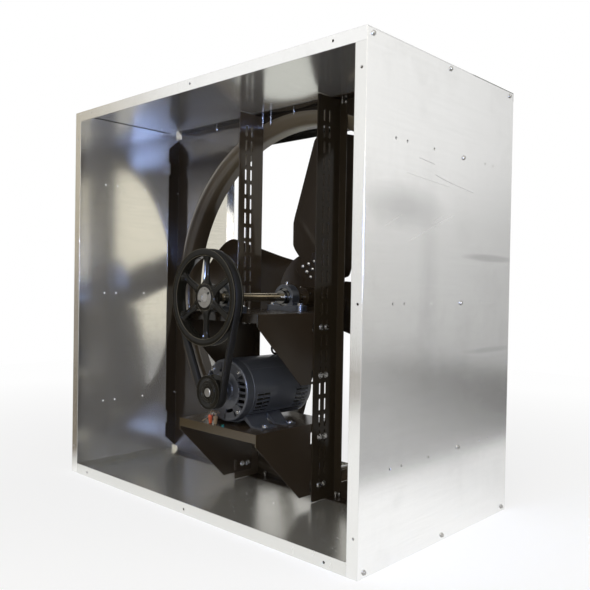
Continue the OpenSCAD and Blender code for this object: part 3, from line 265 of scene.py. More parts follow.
# the shelves' enamel: a lighter, warmer copy of the brown, painted light; the bearing shelf's front lip darkens to
# painted shade
shelfPaintPlan = dict(brownPlan, tone=(0.033, 0.0240, 0.0155), lightTone=(0.036, 0.0262, 0.0170),
                      rough=(0.20, 0.25), edgeTone=(0.085, 0.068, 0.046), specular=0.50, dust=0.015,
                      band=("Y", -0.2215, -0.2232, (0.010, 0.0075, 0.005)))
# the motor shelf's front lip turns a lighter olive: a painted reflection
motorShelfPlan = dict(shelfPaintPlan, band=("Y", -0.2215, -0.2232, (0.052, 0.037, 0.017)))
bladePaintPlan = dict(brownPlan, tone=(0.0250, 0.0172, 0.0100), lightTone=(0.0285, 0.0200, 0.0120),
                      rough=(0.20, 0.26), edgeTone=(0.13, 0.105, 0.070), edge=0.0010, specular=0.13, dust=0.02)


def makePaint(name, plan):
    material, tree, shader, coords = startMaterial(name)
    setPlain(shader, Metallic=0.0, Coat_Weight=plan["coat"], Coat_Roughness=plan["coatRough"],
             Specular_IOR_Level=plan.get("specular", 0.5))
    cloud = noise(tree, coords, 5.0, 6.0, 0.6)
    dust = ramp(tree, noise(tree, coords, 26.0, 8.0, 0.68), [(0.45, 0.0), (0.75, 1.0)])
    peel = noise(tree, coords, 420.0, 2.0) if plan["coat"] else None  # orange peel under a clear coat
    mask, rounded = edgeMask(tree, plan["edge"])
    worn = times(tree, mask, ramp(tree, noise(tree, coords, 40.0, 4.0), [(0.35, 0.25), (0.65, 1.0)]))
    tone = mixTone(tree, cloud, plan["tone"], plan["lightTone"])
    tone = mixTone(tree, times(tree, dust, plan.get("dust", 0.04)), tone, (0.12, 0.10, 0.08))
    tone = mixTone(tree, worn, tone, plan["edgeTone"])
    if "band" in plan:  # painted light or shade: another tone that fades in along an axis
        axis, start, end, paintedLightTone = plan["band"]
        along = axesOf(tree, coords)[axis]
        inBand = mapped(tree, along, start, end)
        tone = mixTone(tree, inBand, tone, paintedLightTone)
    if "rings" in plan:  # painted highlights: bright circles round an axis along Y, on rounded edges
        flat = vector2(tree, "MULTIPLY", coords, (1.0, 0.0, 1.0))
        middle = (plan["ringAt"][0], 0.0, plan["ringAt"][1])
        away = vector2(tree, "DISTANCE", flat, middle)
        for radius, width in plan["rings"]:
            off = math2(tree, "ABSOLUTE", math2(tree, "SUBTRACT", away, radius))
            near = mapped(tree, off, width, 0.3 * width)
            tone = mixTone(tree, times(tree, near, cloud), tone, plan["edgeTone"])
    rough = mapped(tree, cloud, 0.3, 0.7, *plan["rough"])
    rough = math2(tree, "ADD", rough, times(tree, dust, 0.008))
    finishSurface(tree, shader, tone, rough, peel, 0.02, 0.0003, rounded)
    return material


# plated or turned metal
def makeMetal(name, plan):
    material, tree, shader, coords = startMaterial(name)
    setPlain(shader, Metallic=1.0)
    cloud = noise(tree, coords, plan.get("scale", 60.0), 4.0, 0.6)
    fine = noise(tree, coords, 600.0, 2.0, 0.5, plan.get("stretch"))
    mask, rounded = edgeMask(tree, 0.0005)
    tone = mixTone(tree, cloud, plan["tone"], plan["darkTone"])
    tone = mixTone(tree, times(tree, mask, 0.5), tone, plan["edgeTone"])
    tone = addMarks(tree, coords, tone, plan.get("marks", ()))
    if "endTone" in plan:  # bare end of a shaft, in front of a place along Y
        along = axesOf(tree, coords)["Y"]
        atEnd = mapped(tree, along, plan["endY"], plan["endY"] - 0.002)
        tone = mixTone(tree, atEnd, tone, plan["endTone"])
    rough = mapped(tree, cloud, 0.3, 0.7, *plan["rough"])
    finishSurface(tree, shader, tone, rough, fine, 0.06, 0.0003, rounded)
    return material


# rubber, plastic and insulation
def makeSoft(name, plan):
    material, tree, shader, coords = startMaterial(name)
    setPlain(shader, Metallic=0.0, Specular_IOR_Level=plan.get("specular", 0.35))
    cloud = noise(tree, coords, 40.0, 5.0, 0.6)
    fine = noise(tree, coords, 900.0, 2.0)
    tone = mixTone(tree, cloud, plan["tone"], plan["lightTone"])
    rough = mapped(tree, cloud, 0.3, 0.7, *plan["rough"])
    finishSurface(tree, shader, tone, rough, fine, plan.get("bump", 0.15), 0.0004)
    return material


castPlan = {"tone": (0.021, 0.024, 0.031), "lightTone": (0.042, 0.048, 0.060), "rough": (0.24, 0.42),
            "edgeTone": (0.30, 0.31, 0.33), "edge": 0.0017, "coat": 0.3, "coatRough": 0.2}
motorPlan = {"tone": (0.043, 0.048, 0.060), "lightTone": (0.061, 0.067, 0.082), "rough": (0.28, 0.45),
             "edgeTone": (0.14, 0.145, 0.15), "edge": 0.0010, "coat": 0.3, "coatRough": 0.15}
bellPlan = {"tone": (0.030, 0.033, 0.040), "lightTone": (0.047, 0.050, 0.058), "rough": (0.34, 0.55),
            "edgeTone": (0.20, 0.20, 0.19), "edge": 0.0012, "coat": 0.2, "coatRough": 0.2}
ironPlan = {"tone": (0.0090, 0.0085, 0.0070), "lightTone": (0.0140, 0.0132, 0.0108), "rough": (0.10, 0.17),
            "edgeTone": (0.16, 0.145, 0.110), "edge": 0.0010, "coat": 0.0, "coatRough": 0.18, "specular": 0.18}
# the pulley's bright circles are painted highlights on the rounded edges of its rim and hub
pulleyIronPlan = dict(ironPlan, rough=(0.07, 0.12), specular=0.13, ringAt=(0.0, 0.5335),
                      rings=[(0.1218, 0.0008), (0.1052, 0.0008), (0.0342, 0.0007)])
zincPlan = {"tone": (0.56, 0.55, 0.53), "darkTone": (0.26, 0.255, 0.24), "edgeTone": (0.85, 0.85, 0.83),
            "rough": (0.16, 0.32), "scale": 160.0}
shaftPlan = {"tone": (0.42, 0.36, 0.25), "darkTone": (0.22, 0.17, 0.10), "edgeTone": (0.6, 0.55, 0.42),
             "rough": (0.16, 0.32), "stretch": (1.0, 0.02, 1.0), "scale": 22.0,
             "endY": -0.2360, "endTone": (0.40, 0.39, 0.37)}
greyIronPlan = {"tone": (0.46, 0.45, 0.42), "darkTone": (0.20, 0.19, 0.17), "edgeTone": (0.7, 0.69, 0.66),
                "rough": (0.30, 0.52), "scale": 90.0, "marks": []}
# painted shade: dark spots on the bushing's face where its set-screw holes and keyway are
for x, z, size in ((0.0143, 0.5434, 0.0042), (-0.0208, 0.5239, 0.0034), (0.0026, 0.5543, 0.0022)):
    greyIronPlan["marks"].append(((x, -0.252, z), (size, 0.02, size), 0.5, 0.9, (0.02, 0.019, 0.016)))
darkSteelPlan = {"tone": (0.22, 0.215, 0.20), "darkTone": (0.07, 0.068, 0.062), "edgeTone": (0.6, 0.59, 0.56),
                 "rough": (0.16, 0.28), "scale": 90.0}
corePlan = {"tone": (0.22, 0.22, 0.22), "darkTone": (0.10, 0.10, 0.10), "edgeTone": (0.4, 0.4, 0.4),
            "rough": (0.35, 0.6)}
windingPlan = {"tone": (0.060, 0.026, 0.012), "darkTone": (0.024, 0.011, 0.006), "edgeTone": (0.12, 0.06, 0.03),
               "rough": (0.3, 0.5), "scale": 30.0}
beltRubberPlan = {"tone": (0.009, 0.0085, 0.0070), "lightTone": (0.020, 0.0185, 0.0155), "rough": (0.45, 0.7),
                  "bump": 0.3, "specular": 0.15}
leadPlan = {"tone": (0.26, 0.19, 0.125), "lightTone": (0.36, 0.27, 0.18), "rough": (0.4, 0.55)}
redNutPlan = {"tone": (0.50, 0.070, 0.020), "lightTone": (0.62, 0.12, 0.04), "rough": (0.30, 0.42)}
tanNutPlan = {"tone": (0.20, 0.135, 0.075), "lightTone": (0.28, 0.20, 0.12), "rough": (0.32, 0.45)}
greenPlan = {"tone": (0.025, 0.14, 0.105), "darkTone": (0.015, 0.08, 0.06), "edgeTone": (0.2, 0.4, 0.35),
             "rough": (0.25, 0.4)}

# scratches and pencil strokes on the right side sheet: start along Y and Z, turn, length, half width, grey
rightX = 0.5405
rightScratches = []
for y, z, turnDeg, length, width, grey in (
        (-0.150, 0.668, 20.5, 0.186, 0.0010, 0.98), (-0.235, 0.693, 24.5, 0.055, 0.0009, 0.96),
        (-0.066, 0.709, 23.0, 0.046, 0.0008, 0.96), (-0.120, 0.8425, -4.7, 0.061, 0.0012, 0.40),
        (-0.056, 0.8150, -9.0, 0.074, 0.0012, 0.36), (0.015, 0.8035, -6.0, 0.096, 0.0009, 0.46),
        (-0.167, 0.8045, -3.3, 0.168, 0.0007, 0.56)):
    rightScratches.append(((rightX, y, z), (math.radians(turnDeg), 0, 0), length, width, (grey, grey, grey)))
# painted shade: dark spots at its holes
rightMarks = []
for y, z in ((-0.206, 0.8683), (-0.165, 0.8683), (-0.062, 0.8683), (-0.206, 0.5335), (-0.165, 0.5335),
             (-0.206, 0.1987), (-0.165, 0.1987), (-0.062, 0.1987)):
    rightMarks.append(((rightX, y, z), (0.0036, 0.0036, 0.0036), 0.6, 1.0, (0.02, 0.02, 0.02)))
# its soft darker areas: middle along Y and Z, size along Y and Z, inner share, strength, grey
for y, z, wide, high, inner, strength, grey in (
        (-0.170, 0.734, 0.17, 0.055, 0.2, 0.55, 0.52), (0.430, 0.720, 0.42, 0.60, 0.0, 0.38, 0.60),
        (0.200, 0.6415, 0.150, 0.011, 0.5, 0.45, 0.45), (0.210, 0.4175, 0.130, 0.009, 0.4, 0.25, 0.45),
        (-0.075, 0.60, 0.05, 0.30, 0.0, 0.25, 0.55)):
    rightMarks.append(((rightX, y, z), (0.3, wide, high), inner, strength, (grey, grey, grey)))

finishes = {
    "galvanised": makeGalvanised("galvanisedSheet", galvanisedPlan),
    "galvanisedTop": makeGalvanised("galvanisedSheetTop", topPlan),
    "galvanisedLeft": makeGalvanised("galvanisedSheetLeft", leftPlan),
    "galvanisedDusty": makeGalvanised("galvanisedSheetDusty", dustyPlan),
    "galvanisedRight": makeGalvanised("galvanisedSheetScratched", outerPlan, rightScratches, rightMarks),
    "brown": makePaint("brownEnamel", brownPlan),
    "ring": makePaint("ringEnamel", ringPaintPlan),
    "upright": makePaint("uprightEnamel", uprightPaintPlan),
    "litLeftUpright": makePaint("litLeftUprightEnamel", litLeftUprightPlan),
    "shelf": makePaint("shelfEnamel", shelfPaintPlan),
    "motorShelf": makePaint("motorShelfEnamel", motorShelfPlan),
    "blade": makePaint("bladeEnamel", bladePaintPlan),
    "cast": makePaint("castPaint", castPlan),
    "motor": makePaint("motorPaint", motorPlan),
    "bell": makePaint("bellPaint", bellPlan),
    "iron": makePaint("blackIron", ironPlan),
    "pulleyIron": makePaint("pulleyIron", pulleyIronPlan),
    "zinc": makeMetal("zincPlate", zincPlan),
    "shaft": makeMetal("oiledSteel", shaftPlan),
    "greyIron": makeMetal("machinedIron", greyIronPlan),
    "darkSteel": makeMetal("darkSteel", darkSteelPlan),
    "core": makeMetal("castCore", corePlan),
    "winding": makeMetal("varnishedWinding", windingPlan),
    "belt": makeSoft("beltRubber", beltRubberPlan),
    "lead": makeSoft("leadInsulation", leadPlan),
    "redNut": makeSoft("orangePlastic", redNutPlan),
    "tanNut": makeSoft("tanPlastic", tanNutPlan),
    "green": makeMetal("greenPlate", greenPlan),
}
slotFinish = {
    "galvanised": "galvanised", "zinc": "zinc", "brown_paint": "brown", "cast_paint": "cast",
    "motor_paint": "motor", "end_bell": "bell", "black_iron": "iron", "bright_steel": "shaft",
    "bushing": "greyIron", "belt": "belt", "windings": "winding", "core": "core", "leads": "lead",
    "red_plastic": "redNut", "tan_plastic": "tanNut", "green_paint": "green",
}
nodeFinish = {
    "right_side_panel": "galvanisedRight", "left_side_panel": "galvanisedLeft", "top_panel": "galvanisedTop",
    "bottom_panel": "galvanisedDusty", "left_upright": "litLeftUpright", "right_upright": "upright",
    "bearing_shelf": "shelf", "motor_shelf": "motorShelf", "propeller_hub": "blade", "venturi_ring": "ring",
    "front_bearing_insert": "darkSteel", "rear_bearing_insert": "darkSteel",
    "front_inner_ring": "darkSteel", "rear_inner_ring": "darkSteel",
}
for part in frame["record"]["subparts"]:
    materials = nodes[part["node"]].data.materials
    materials.clear()
    materials.append(finishes[nodeFinish.get(part["node"], slotFinish[part["material_slot"]])])
print("finishes on", len(nodes), "nodes")


def xyz(x, y, z):
    # three coordinates spread over one grid of points
    return np.stack(np.broadcast_arrays(x, y, z), axis=-1)


def circle(count):
    # equal angles once round
    return np.linspace(0, 2 * math.pi, count, endpoint=False)


def gridQuads(rows, cols, closeRows=False, closeCols=False):
    # quads between neighbouring points of a grid, joined round where asked
    i, j = np.meshgrid(np.arange(rows if closeRows else rows - 1),
                       np.arange(cols if closeCols else cols - 1), indexing="ij")
    i, j = i.ravel(), j.ravel()
    nextI, nextJ = (i + 1) % rows, (j + 1) % cols
    return np.stack([i * cols + j, nextI * cols + j, nextI * cols + nextJ, i * cols + nextJ], axis=1)


def closedShell(points, ring=False):
    # a grid whose columns close on themselves; its ends are capped, or its rows close too for a ring
    rows, cols = points.shape[:2]
    flat = points.reshape(-1, 3)
    quads = gridQuads(rows, cols, ring, True)
    a, b, c, d = (flat[quads[:, k]] for k in range(4))
    volume = np.sum(np.cross(a, b) * c) + np.sum(np.cross(a, c) * d)
    caps = [] if ring else [list(range(cols)), list(range(rows * cols - 1, (rows - 1) * cols - 1, -1))]
    for cap in caps:
        first, rest = flat[cap[0]], flat[cap[1:]]
        volume += np.sum(np.cross(rest[:-1], rest[1:]) @ first)
    faces = quads.tolist() + caps
    return flat, faces if volume > 0 else [face[::-1] for face in faces]


def makePiece(name, shells, finish, body, replaced=(), sharpDeg=38):
    # one mesh object from closed shells, riding on a body and standing for CAD nodes
    count, points, faces = 0, [], []
    for shellPoints, shellFaces in shells:
        points.append(shellPoints)
        faces += [[k + count for k in face] for face in shellFaces]
        count += len(shellPoints)
    mesh = bpy.data.meshes.new(name)
    mesh.from_pydata(np.concatenate(points).tolist(), [], faces)
    mesh.shade_smooth()
    mesh.set_sharp_from_angle(angle=math.radians(sharpDeg))
    mesh.materials.append(finishes[finish])
    piece = addObject(name, mesh)
    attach(piece, body)
    if replaced:
        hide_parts(*replaced)
    return piece


def turnedAbout(profile, centre, segments):
    # a profile of (radius, y) turned about an axis along Y through centre
    profile = np.asarray(profile, float)
    angle = circle(segments)
    radius, along = profile[:, :1], profile[:, 1:]
    return xyz(centre[0] + radius * np.cos(angle), along, centre[1] + radius * np.sin(angle))


def turnedRing(profile, centre, segments):
    return closedShell(turnedAbout(profile, centre, segments), True)


def looseSolids(nodeName):
    # the points of each separate solid of a CAD node: triangles that share a corner belong together
    mesh = nodes[nodeName].data
    points = np.empty(len(mesh.vertices) * 3)
    mesh.vertices.foreach_get("co", points)
    corners = np.empty(len(mesh.loops), int)
    mesh.loops.foreach_get("vertex_index", corners)
    places, label = np.unique(np.round(points.reshape(-1, 3), 5), axis=0, return_inverse=True)
    triangles = label.ravel()[corners].reshape(-1, 3)
    group = np.arange(len(places))
    while True:
        lowest = group[triangles].min(axis=1)
        fresh = group.copy()
        for k in range(3):
            np.minimum.at(fresh, triangles[:, k], lowest)
        fresh = fresh[fresh]
        if (fresh == group).all():
            break
        group = fresh
    return [places[group == k] for k in np.unique(group)]


def fastenerPlaces(nodeName):
    # for each solid: middle of its head's top, direction from head to tail, and length
    found = []
    for points in looseSolids(nodeName):
        low, high = points.min(axis=0), points.max(axis=0)
        axis = int(np.argmax(high - low))
        span = high[axis] - low[axis]
        ends = [np.ptp(points[np.abs(points[:, axis] - edge) < 0.0002], axis=0).sum()
                for edge in (low[axis], high[axis])]
        head = (low + high) / 2
        direction = np.zeros(3)
        atLow = ends[0] > ends[1]
        head[axis] = low[axis] if atLow else high[axis]
        direction[axis] = 1.0 if atLow else -1.0
        found.append((head, direction, span))
    return found


def standOn(points, origin, axis):
    # moves a shape drawn along +Z so that it starts at origin and runs along axis
    side = np.array([0.0, 0.0, 1.0]) if abs(axis[2]) < 0.9 else np.array([1.0, 0.0, 0.0])
    x = np.cross(side, axis)
    x /= np.linalg.norm(x)
    basis = np.stack([x, np.cross(axis, x), axis])
    return np.asarray(origin) + points @ basis


def boltRows(rows, cols, pitch=0.0014, depth=0.00035):
    # rows of (z, radius, hex share, thread share), the shares 0 where left out: the radius follows a
    # hexagon by the hex share and a helix of triangular thread by the thread share
    rows = np.array([(*row, 0.0, 0.0)[:4] for row in rows])
    angle = circle(cols)
    z, radius, hexShare, threadShare = (rows[:, k:k + 1] for k in range(4))
    hexagon = 1 / np.cos((angle + math.pi / 6) % (math.pi / 3) - math.pi / 6)
    wave = np.abs((z / pitch + angle / (2 * math.pi)) % 1.0 - 0.5) * 2 - 0.5
    r = radius * (1 + hexShare * (hexagon - 1)) + depth * threadShare * wave
    return xyz(r * np.cos(angle), r * np.sin(angle), z)


def threadRows(start, end, radius, step=0.00047):
    steps = max(2, int((end - start) / step))
    return [(z, radius, 0.0, 1.0) for z in np.linspace(start, end, steps)]


# hex screws with a washer under the head and a pointed, threaded tail
screwPlan = {"headH": 0.004, "hexFlat": 0.0037, "washerR": 0.0056, "shankR": 0.0022, "point": 0.004}


def screwShell(plan, length):
    top, flat, shank, washer = plan["headH"], plan["hexFlat"], plan["shankR"], plan["washerR"]
    rows = [(0.0002, flat * 0.55), (0.0, flat * 0.80), (0.0003, flat * 0.98, 0.3), (0.0008, flat, 1),
            (top - 0.0012, flat, 1), (top - 0.0008, washer * 0.97), (top - 0.0003, washer),
            (top, washer * 0.99), (top, shank)]
    rows += threadRows(top, length - plan["point"], shank) + [(length, shank * 0.25)]
    return boltRows(rows, 24)


# hex bolts with a washer at both ends, a nut and a short threaded end
boltPlans = {
    "shelf_bolts": {"headH": 0.005, "hexFlat": 0.00585, "washerR": 0.0082, "shankR": 0.0033, "nutEnd": 0.004},
    "bearing_bolts": {"headH": 0.007, "hexFlat": 0.0072, "washerR": 0.0102, "shankR": 0.0036, "nutEnd": 0.004},
    "motor_foot_bolts": {"headH": 0.005, "hexFlat": 0.00585, "washerR": 0.0085, "shankR": 0.0033, "nutEnd": 0.004},
    "motor_through_bolts": {"headH": 0.005, "hexFlat": 0.0040, "washerR": 0.0049, "shankR": 0.0025, "nutEnd": 0.0,
                            "out": 0.0165},
}


def boltShell(plan, length):
    top, flat, shank, washer = plan["headH"], plan["hexFlat"], plan["shankR"], plan["washerR"]
    nutTop = length - plan["nutEnd"]
    nutLow = nutTop - top
    rows = [(0.0003, flat * 0.5), (0.0, flat * 0.86), (0.0005, flat * 0.99, 0.4), (0.0011, flat, 1),
            (top - 0.0012, flat, 1), (top - 0.0011, washer * 0.97), (top - 0.0006, washer),
            (top, washer * 0.99), (top, shank), (nutLow, shank), (nutLow, washer * 0.99),
            (nutLow + 0.0006, washer), (nutLow + 0.0011, washer * 0.97), (nutLow + 0.0012, flat, 1),
            (nutTop - 0.0009, flat, 1), (nutTop - 0.0004, flat * 0.99, 0.4), (nutTop, flat * 0.86)]
    if plan["nutEnd"]:
        rows += [(nutTop, shank)] + threadRows(nutTop, length - 0.0006, shank) + [(length, shank * 0.8)]
    else:
        rows += [(nutTop - 0.0003, flat * 0.5)]
    return boltRows(rows, 24)


for nodeName in ("housing_screws", "panel_screws", "upright_screws"):
    shells = [closedShell(standOn(screwShell(screwPlan, length), head, axis))
              for head, axis, length in fastenerPlaces(nodeName) if length > 0.012]
    makePiece(nodeName.replace("_s", "S"), shells, "zinc", "housing", (nodeName,))
# long screws beside the left upright
tiePlan = {"xs": (-0.1255, -0.0920), "y": 0.0633, "top": 1.0712, "long": 0.038}
tieShape = dict(screwPlan, shankR=0.0026, washerR=0.0058)
tieGrid = screwShell(tieShape, tiePlan["long"])
downward = np.array([0.0, 0.0, -1.0])
shells = [closedShell(standOn(tieGrid, (x, tiePlan["y"], tiePlan["top"]), downward)) for x in tiePlan["xs"]]
makePiece("tieScrews", shells, "zinc", "housing", ())
for nodeName, plan in boltPlans.items():
    out = plan.get("out", 0.0)  # how far the far end stands out beyond the CAD bolt
    shells = [closedShell(standOn(boltShell(plan, length + out), head, axis))
              for head, axis, length in fastenerPlaces(nodeName)]
    name = nodeName.split("_")[0] + "".join(word.title() for word in nodeName.split("_")[1:])
    makePiece(name, shells, "zinc", "housing", (nodeName,))
print("fasteners made")

# the fan's axis and the drive's plane, from the frame
fanZ = sum(v[2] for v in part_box("fan_shaft")) / 2
motorX, motorZ = ((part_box("motor_shaft")[0][k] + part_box("motor_shaft")[1][k]) / 2 for k in (0, 2))
beltY = sum(v[1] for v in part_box("drive_belt")) / 2

# propeller blades: edges as (distance from the axis, place along the chord)
bladePlan = {
    "turnDeg": 74.4, "pitchDeg": 30.0, "y": 0.1675, "thick": 0.0025,
    "leadEdge": [(0.045, -0.012), (0.122, -0.090), (0.134, -0.0985), (0.150, -0.102), (0.196, -0.1125),
                 (0.212, -0.1128), (0.440, -0.1036), (0.455, -0.098), (0.466, -0.082), (0.474, -0.052),
                 (0.478, 0.0)],
    "trailEdge": [(0.045, -0.012), (0.079, 0.076), (0.084, 0.083), (0.094, 0.086), (0.448, 0.086),
                  (0.460, 0.0825), (0.468, 0.0745), (0.475, 0.0550), (0.478, 0.0)],
    "trailSag": 0.010, "leadSag": 0.005, "bead": 0.0011, "rows": 120, "cols": 48,
}


def bladePoints(plan, k, lift):
    # u runs along the blade and w along its chord between the two edges; the surface is flat round
    # the rivets, sags to the rear toward both edges, and has a shallow bead across its root
    share = (1 - np.cos(np.linspace(0, math.pi, plan["rows"]))) / 2
    lead, trail = np.array(plan["leadEdge"]), np.array(plan["trailEdge"])
    u = (lead[0, 0] + 0.001 + share * (lead[-1, 0] - lead[0, 0] - 0.0012))[:, None]
    wLead, wTrail = (np.interp(u, edge[:, 0], edge[:, 1]) for edge in (lead, trail))
    t = (1 - np.cos(np.linspace(0, math.pi, plan["cols"]))) / 2
    w = wLead + (wTrail - wLead) * t
    outward = np.clip((u - 0.11) / 0.12, 0, 1)
    outward = outward * outward * (3 - 2 * outward)
    toTrail = np.clip((w - 0.015) / 0.071, 0, 1)
    toLead = np.clip((-0.065 - w) / 0.045, 0, 1)
    across = ((u - 0.204) + (w + 0.113)) / math.sqrt(2)
    z = outward * (plan["trailSag"] * toTrail ** 2 + plan["leadSag"] * toLead ** 2)
    z = z - plan["bead"] * np.exp(-((across - 0.014) / 0.008) ** 2) + lift
    return placeOnBlade(plan, k, u, w, z)


def placeOnBlade(plan, k, u, w, z):
    # blade coordinates to the frame: pitched about the blade, then turned about the fan's axis
    pitch = math.radians(plan["pitchDeg"] - 90)
    turn = math.radians(plan["turnDeg"] + 90 * k)
    y = w * math.cos(pitch) - z * math.sin(pitch)
    up = w * math.sin(pitch) + z * math.cos(pitch)
    return xyz(u * math.cos(turn) - up * math.sin(turn), plan["y"] + y,
               fanZ + u * math.sin(turn) + up * math.cos(turn))


for k in range(4):
    front, rear = bladePoints(bladePlan, k, 0.0), bladePoints(bladePlan, k, bladePlan["thick"])
    wrapped = np.concatenate([front, rear[:, ::-1]], axis=1)
    makePiece("bladeSheet%d" % (k + 1), [closedShell(wrapped)], "blade", "fan_rotor", ("blade_%d" % (k + 1),))

# domed rivets on both sides of the blades and arms
rivetPlan = {"u": 0.079, "w": -0.025, "step": (0.012, 0.015), "headR": 0.00595, "headH": 0.003, "stack": 0.0065}
domeAngle = np.linspace(0.12, math.pi / 2, 6)
dome = np.stack([rivetPlan["headR"] * np.sin(domeAngle), rivetPlan["headH"] * np.cos(domeAngle)], axis=-1)
rivetRows = [(-z, r) for r, z in dome] + [(rivetPlan["stack"] + z, r) for r, z in dome[::-1]]
rivetGrid = boltRows(rivetRows, 14)
shells = []
for k in range(4):
    for i, j in ((i, j) for i in (-1, 0, 1) for j in (-1, 0, 1)):
        u = rivetPlan["u"] + rivetPlan["step"][0] * (i + j)
        w = rivetPlan["w"] + rivetPlan["step"][1] * (j - i)
        shells.append(closedShell(placeOnBlade(bladePlan, k, u + rivetGrid[..., 0], w + rivetGrid[..., 1],
                                               rivetGrid[..., 2])))
makePiece("bladeRivets", shells, "zinc", "fan_rotor", ("blade_rivets",))
print("propeller made")

# cast pulley on the fan shaft: rim with a V groove, hub and six ribbed spokes
pulleyPlan = {"rimR": 0.123, "rimIn": 0.104, "halfW": 0.015, "grooveR": 0.1085, "grooveLow": 0.0058,
              "grooveTop": 0.0103, "hubR": 0.035, "boreR": 0.026, "hubFront": -0.008, "hubBack": 0.018, "spokes": 6,
              "spokeHalfW": 0.0080, "spokeHalfD": 0.0045, "rib": 0.0046, "ribHalfW": 0.0019, "flare": 0.0075}


def spokePoints(plan, turn):
    # along the radius and round the section: a flat oval with a ridge down the middle of both faces,
    # widening where it runs into the hub and the rim
    r = np.linspace(plan["hubR"] - 0.003, plan["rimIn"] + 0.003, 26)[:, None]
    toHub = np.exp(-(r - plan["hubR"]) / 0.008)
    toRim = np.exp(-(plan["rimIn"] - r) / 0.007)
    halfW = plan["spokeHalfW"] - 0.0008 * (r - plan["hubR"]) / 0.07 + plan["flare"] * (toHub + toRim)
    halfD = plan["spokeHalfD"] + 0.5 * plan["flare"] * (toHub + toRim)
    angle = circle(40)
    across = np.sign(np.cos(angle)) * np.abs(np.cos(angle)) ** 0.8
    deep = np.sign(np.sin(angle)) * np.abs(np.sin(angle)) ** 0.6
    w = halfW * across
    ridge = plan["rib"] * np.exp(-(w / plan["ribHalfW"]) ** 2) * np.sign(np.sin(angle)) * (np.abs(deep) > 0.2)
    y = halfD * deep + ridge
    return xyz(r * math.cos(turn) - w * math.sin(turn), beltY + y, fanZ + r * math.sin(turn) + w * math.cos(turn))


plan = pulleyPlan
rimR, rimIn, halfW, grooveR, grooveLow, grooveTop = (
    plan[key] for key in ("rimR", "rimIn", "halfW", "grooveR", "grooveLow", "grooveTop"))
hubR, boreR, hubFront, hubBack = (plan[key] for key in ("hubR", "boreR", "hubFront", "hubBack"))
rimProfile = [(rimIn, -halfW + 0.003), (rimIn + 0.0010, -halfW + 0.0008), (rimIn + 0.003, -halfW),
              (rimR - 0.0022, -halfW), (rimR - 0.0006, -halfW + 0.0005), (rimR, -halfW + 0.0018),
              (rimR, -grooveTop - 0.0007), (rimR - 0.0008, -grooveTop), (grooveR + 0.001, -grooveLow),
              (grooveR, -grooveLow + 0.001)]
rimProfile = np.array(rimProfile + [(r, -y) for r, y in rimProfile[::-1]]) + (0, beltY)
hubProfile = np.array([(boreR, hubFront), (hubR - 0.002, hubFront), (hubR - 0.0005, hubFront + 0.0006),
                       (hubR, hubFront + 0.002), (hubR, hubBack - 0.002), (hubR - 0.002, hubBack),
                       (boreR, hubBack)]) + (0, beltY)
shells = [turnedRing(rimProfile, (0.0, fanZ), 160), turnedRing(hubProfile, (0.0, fanZ), 96)]
for k in range(plan["spokes"]):
    shells.append(closedShell(spokePoints(plan, math.radians(90 + 360 * k / plan["spokes"]))))
makePiece("castPulley", shells, "pulleyIron", "fan_rotor", ("driven_pulley",))

# V belt: its section carried round both pulleys
beltShape = {"fanR": 0.1165, "motorR": 0.0365, "topHalf": 0.0098, "baseHalf": 0.0060, "halfH": 0.0062,
             "ease": 0.0011}


def beltPoints(plan):
    # two arcs joined by their common tangents; each path point carries its outward direction
    along = np.array([-motorX, fanZ - motorZ])
    span = np.linalg.norm(along)
    along /= span
    side = np.array([-along[1], along[0]])
    wrap = math.asin((plan["fanR"] - plan["motorR"]) / span)
    fanArc = np.linspace(-math.pi / 2 - wrap, math.pi / 2 + wrap, 110)
    motorArc = np.linspace(math.pi / 2 + wrap, 1.5 * math.pi - wrap, 60)
    angle = np.concatenate([fanArc, motorArc])
    outward = np.cos(angle)[:, None] * along + np.sin(angle)[:, None] * side
    centre = np.concatenate([np.tile((0.0, fanZ), (len(fanArc), 1)), np.tile((motorX, motorZ), (len(motorArc), 1))])
    radius = np.concatenate([np.full(len(fanArc), plan["fanR"]), np.full(len(motorArc), plan["motorR"])])[:, None]
    h, e, top, base = plan["halfH"], plan["ease"], plan["topHalf"], plan["baseHalf"]
    section = np.array([(-h, -base + e), (-h, base - e), (-h + e, base + e * 0.3), (h - e, top), (h, top - e),
                        (h, -top + e), (h - e, -top), (-h + e, -base - e * 0.3)])
    flat = (centre + radius * outward)[:, None, :] + section[None, :, :1] * outward[:, None, :]
    return xyz(flat[..., 0], beltY + section[:, 1], flat[..., 1])


makePiece("vBelt", [closedShell(beltPoints(beltShape), True)], "belt", "housing", ("drive_belt",), 50)
print("drive made")

# motor: a flat front bell of rim, middle and webs, with open windows between the webs
bellShape = {"inR": 0.0475, "outR": 0.0745, "face": -0.1995, "deep": -0.1935, "barHalf": 0.0027,
             "barPitch": 0.0150, "bossR": 0.0088}


def arcPlate(r0, r1, fromDeg, toDeg, y0, y1, ease=0.0006):
    # a plate between two radii and two angles about the motor's axis; its section has eased corners
    angle = np.radians(np.linspace(fromDeg, toDeg, max(3, int((toDeg - fromDeg) / 3) + 2)))[:, None]
    r = np.array([r0, r0, r0 + ease, r1 - ease, r1, r1, r1 - ease, r0 + ease])
    y = np.array([y1 - ease, y0 + ease, y0, y0, y0 + ease, y1 - ease, y1, y1])
    return xyz(motorX + r * np.cos(angle), y, motorZ + r * np.sin(angle))


def barPlate(plan, side, rise):
    # a level bar across a side window, from the inner circle to the outer one at its own height
    level = rise + plan["barHalf"] * np.array([-1.0, -1.0, 1.0, 1.0])
    radius = np.array([plan["inR"], plan["outR"], plan["outR"], plan["inR"]])
    across = motorX + side * np.sqrt(radius ** 2 - level ** 2)
    depth = np.array([[plan["face"] + 0.0004], [plan["deep"]]])
    return xyz(across, depth, motorZ + level)


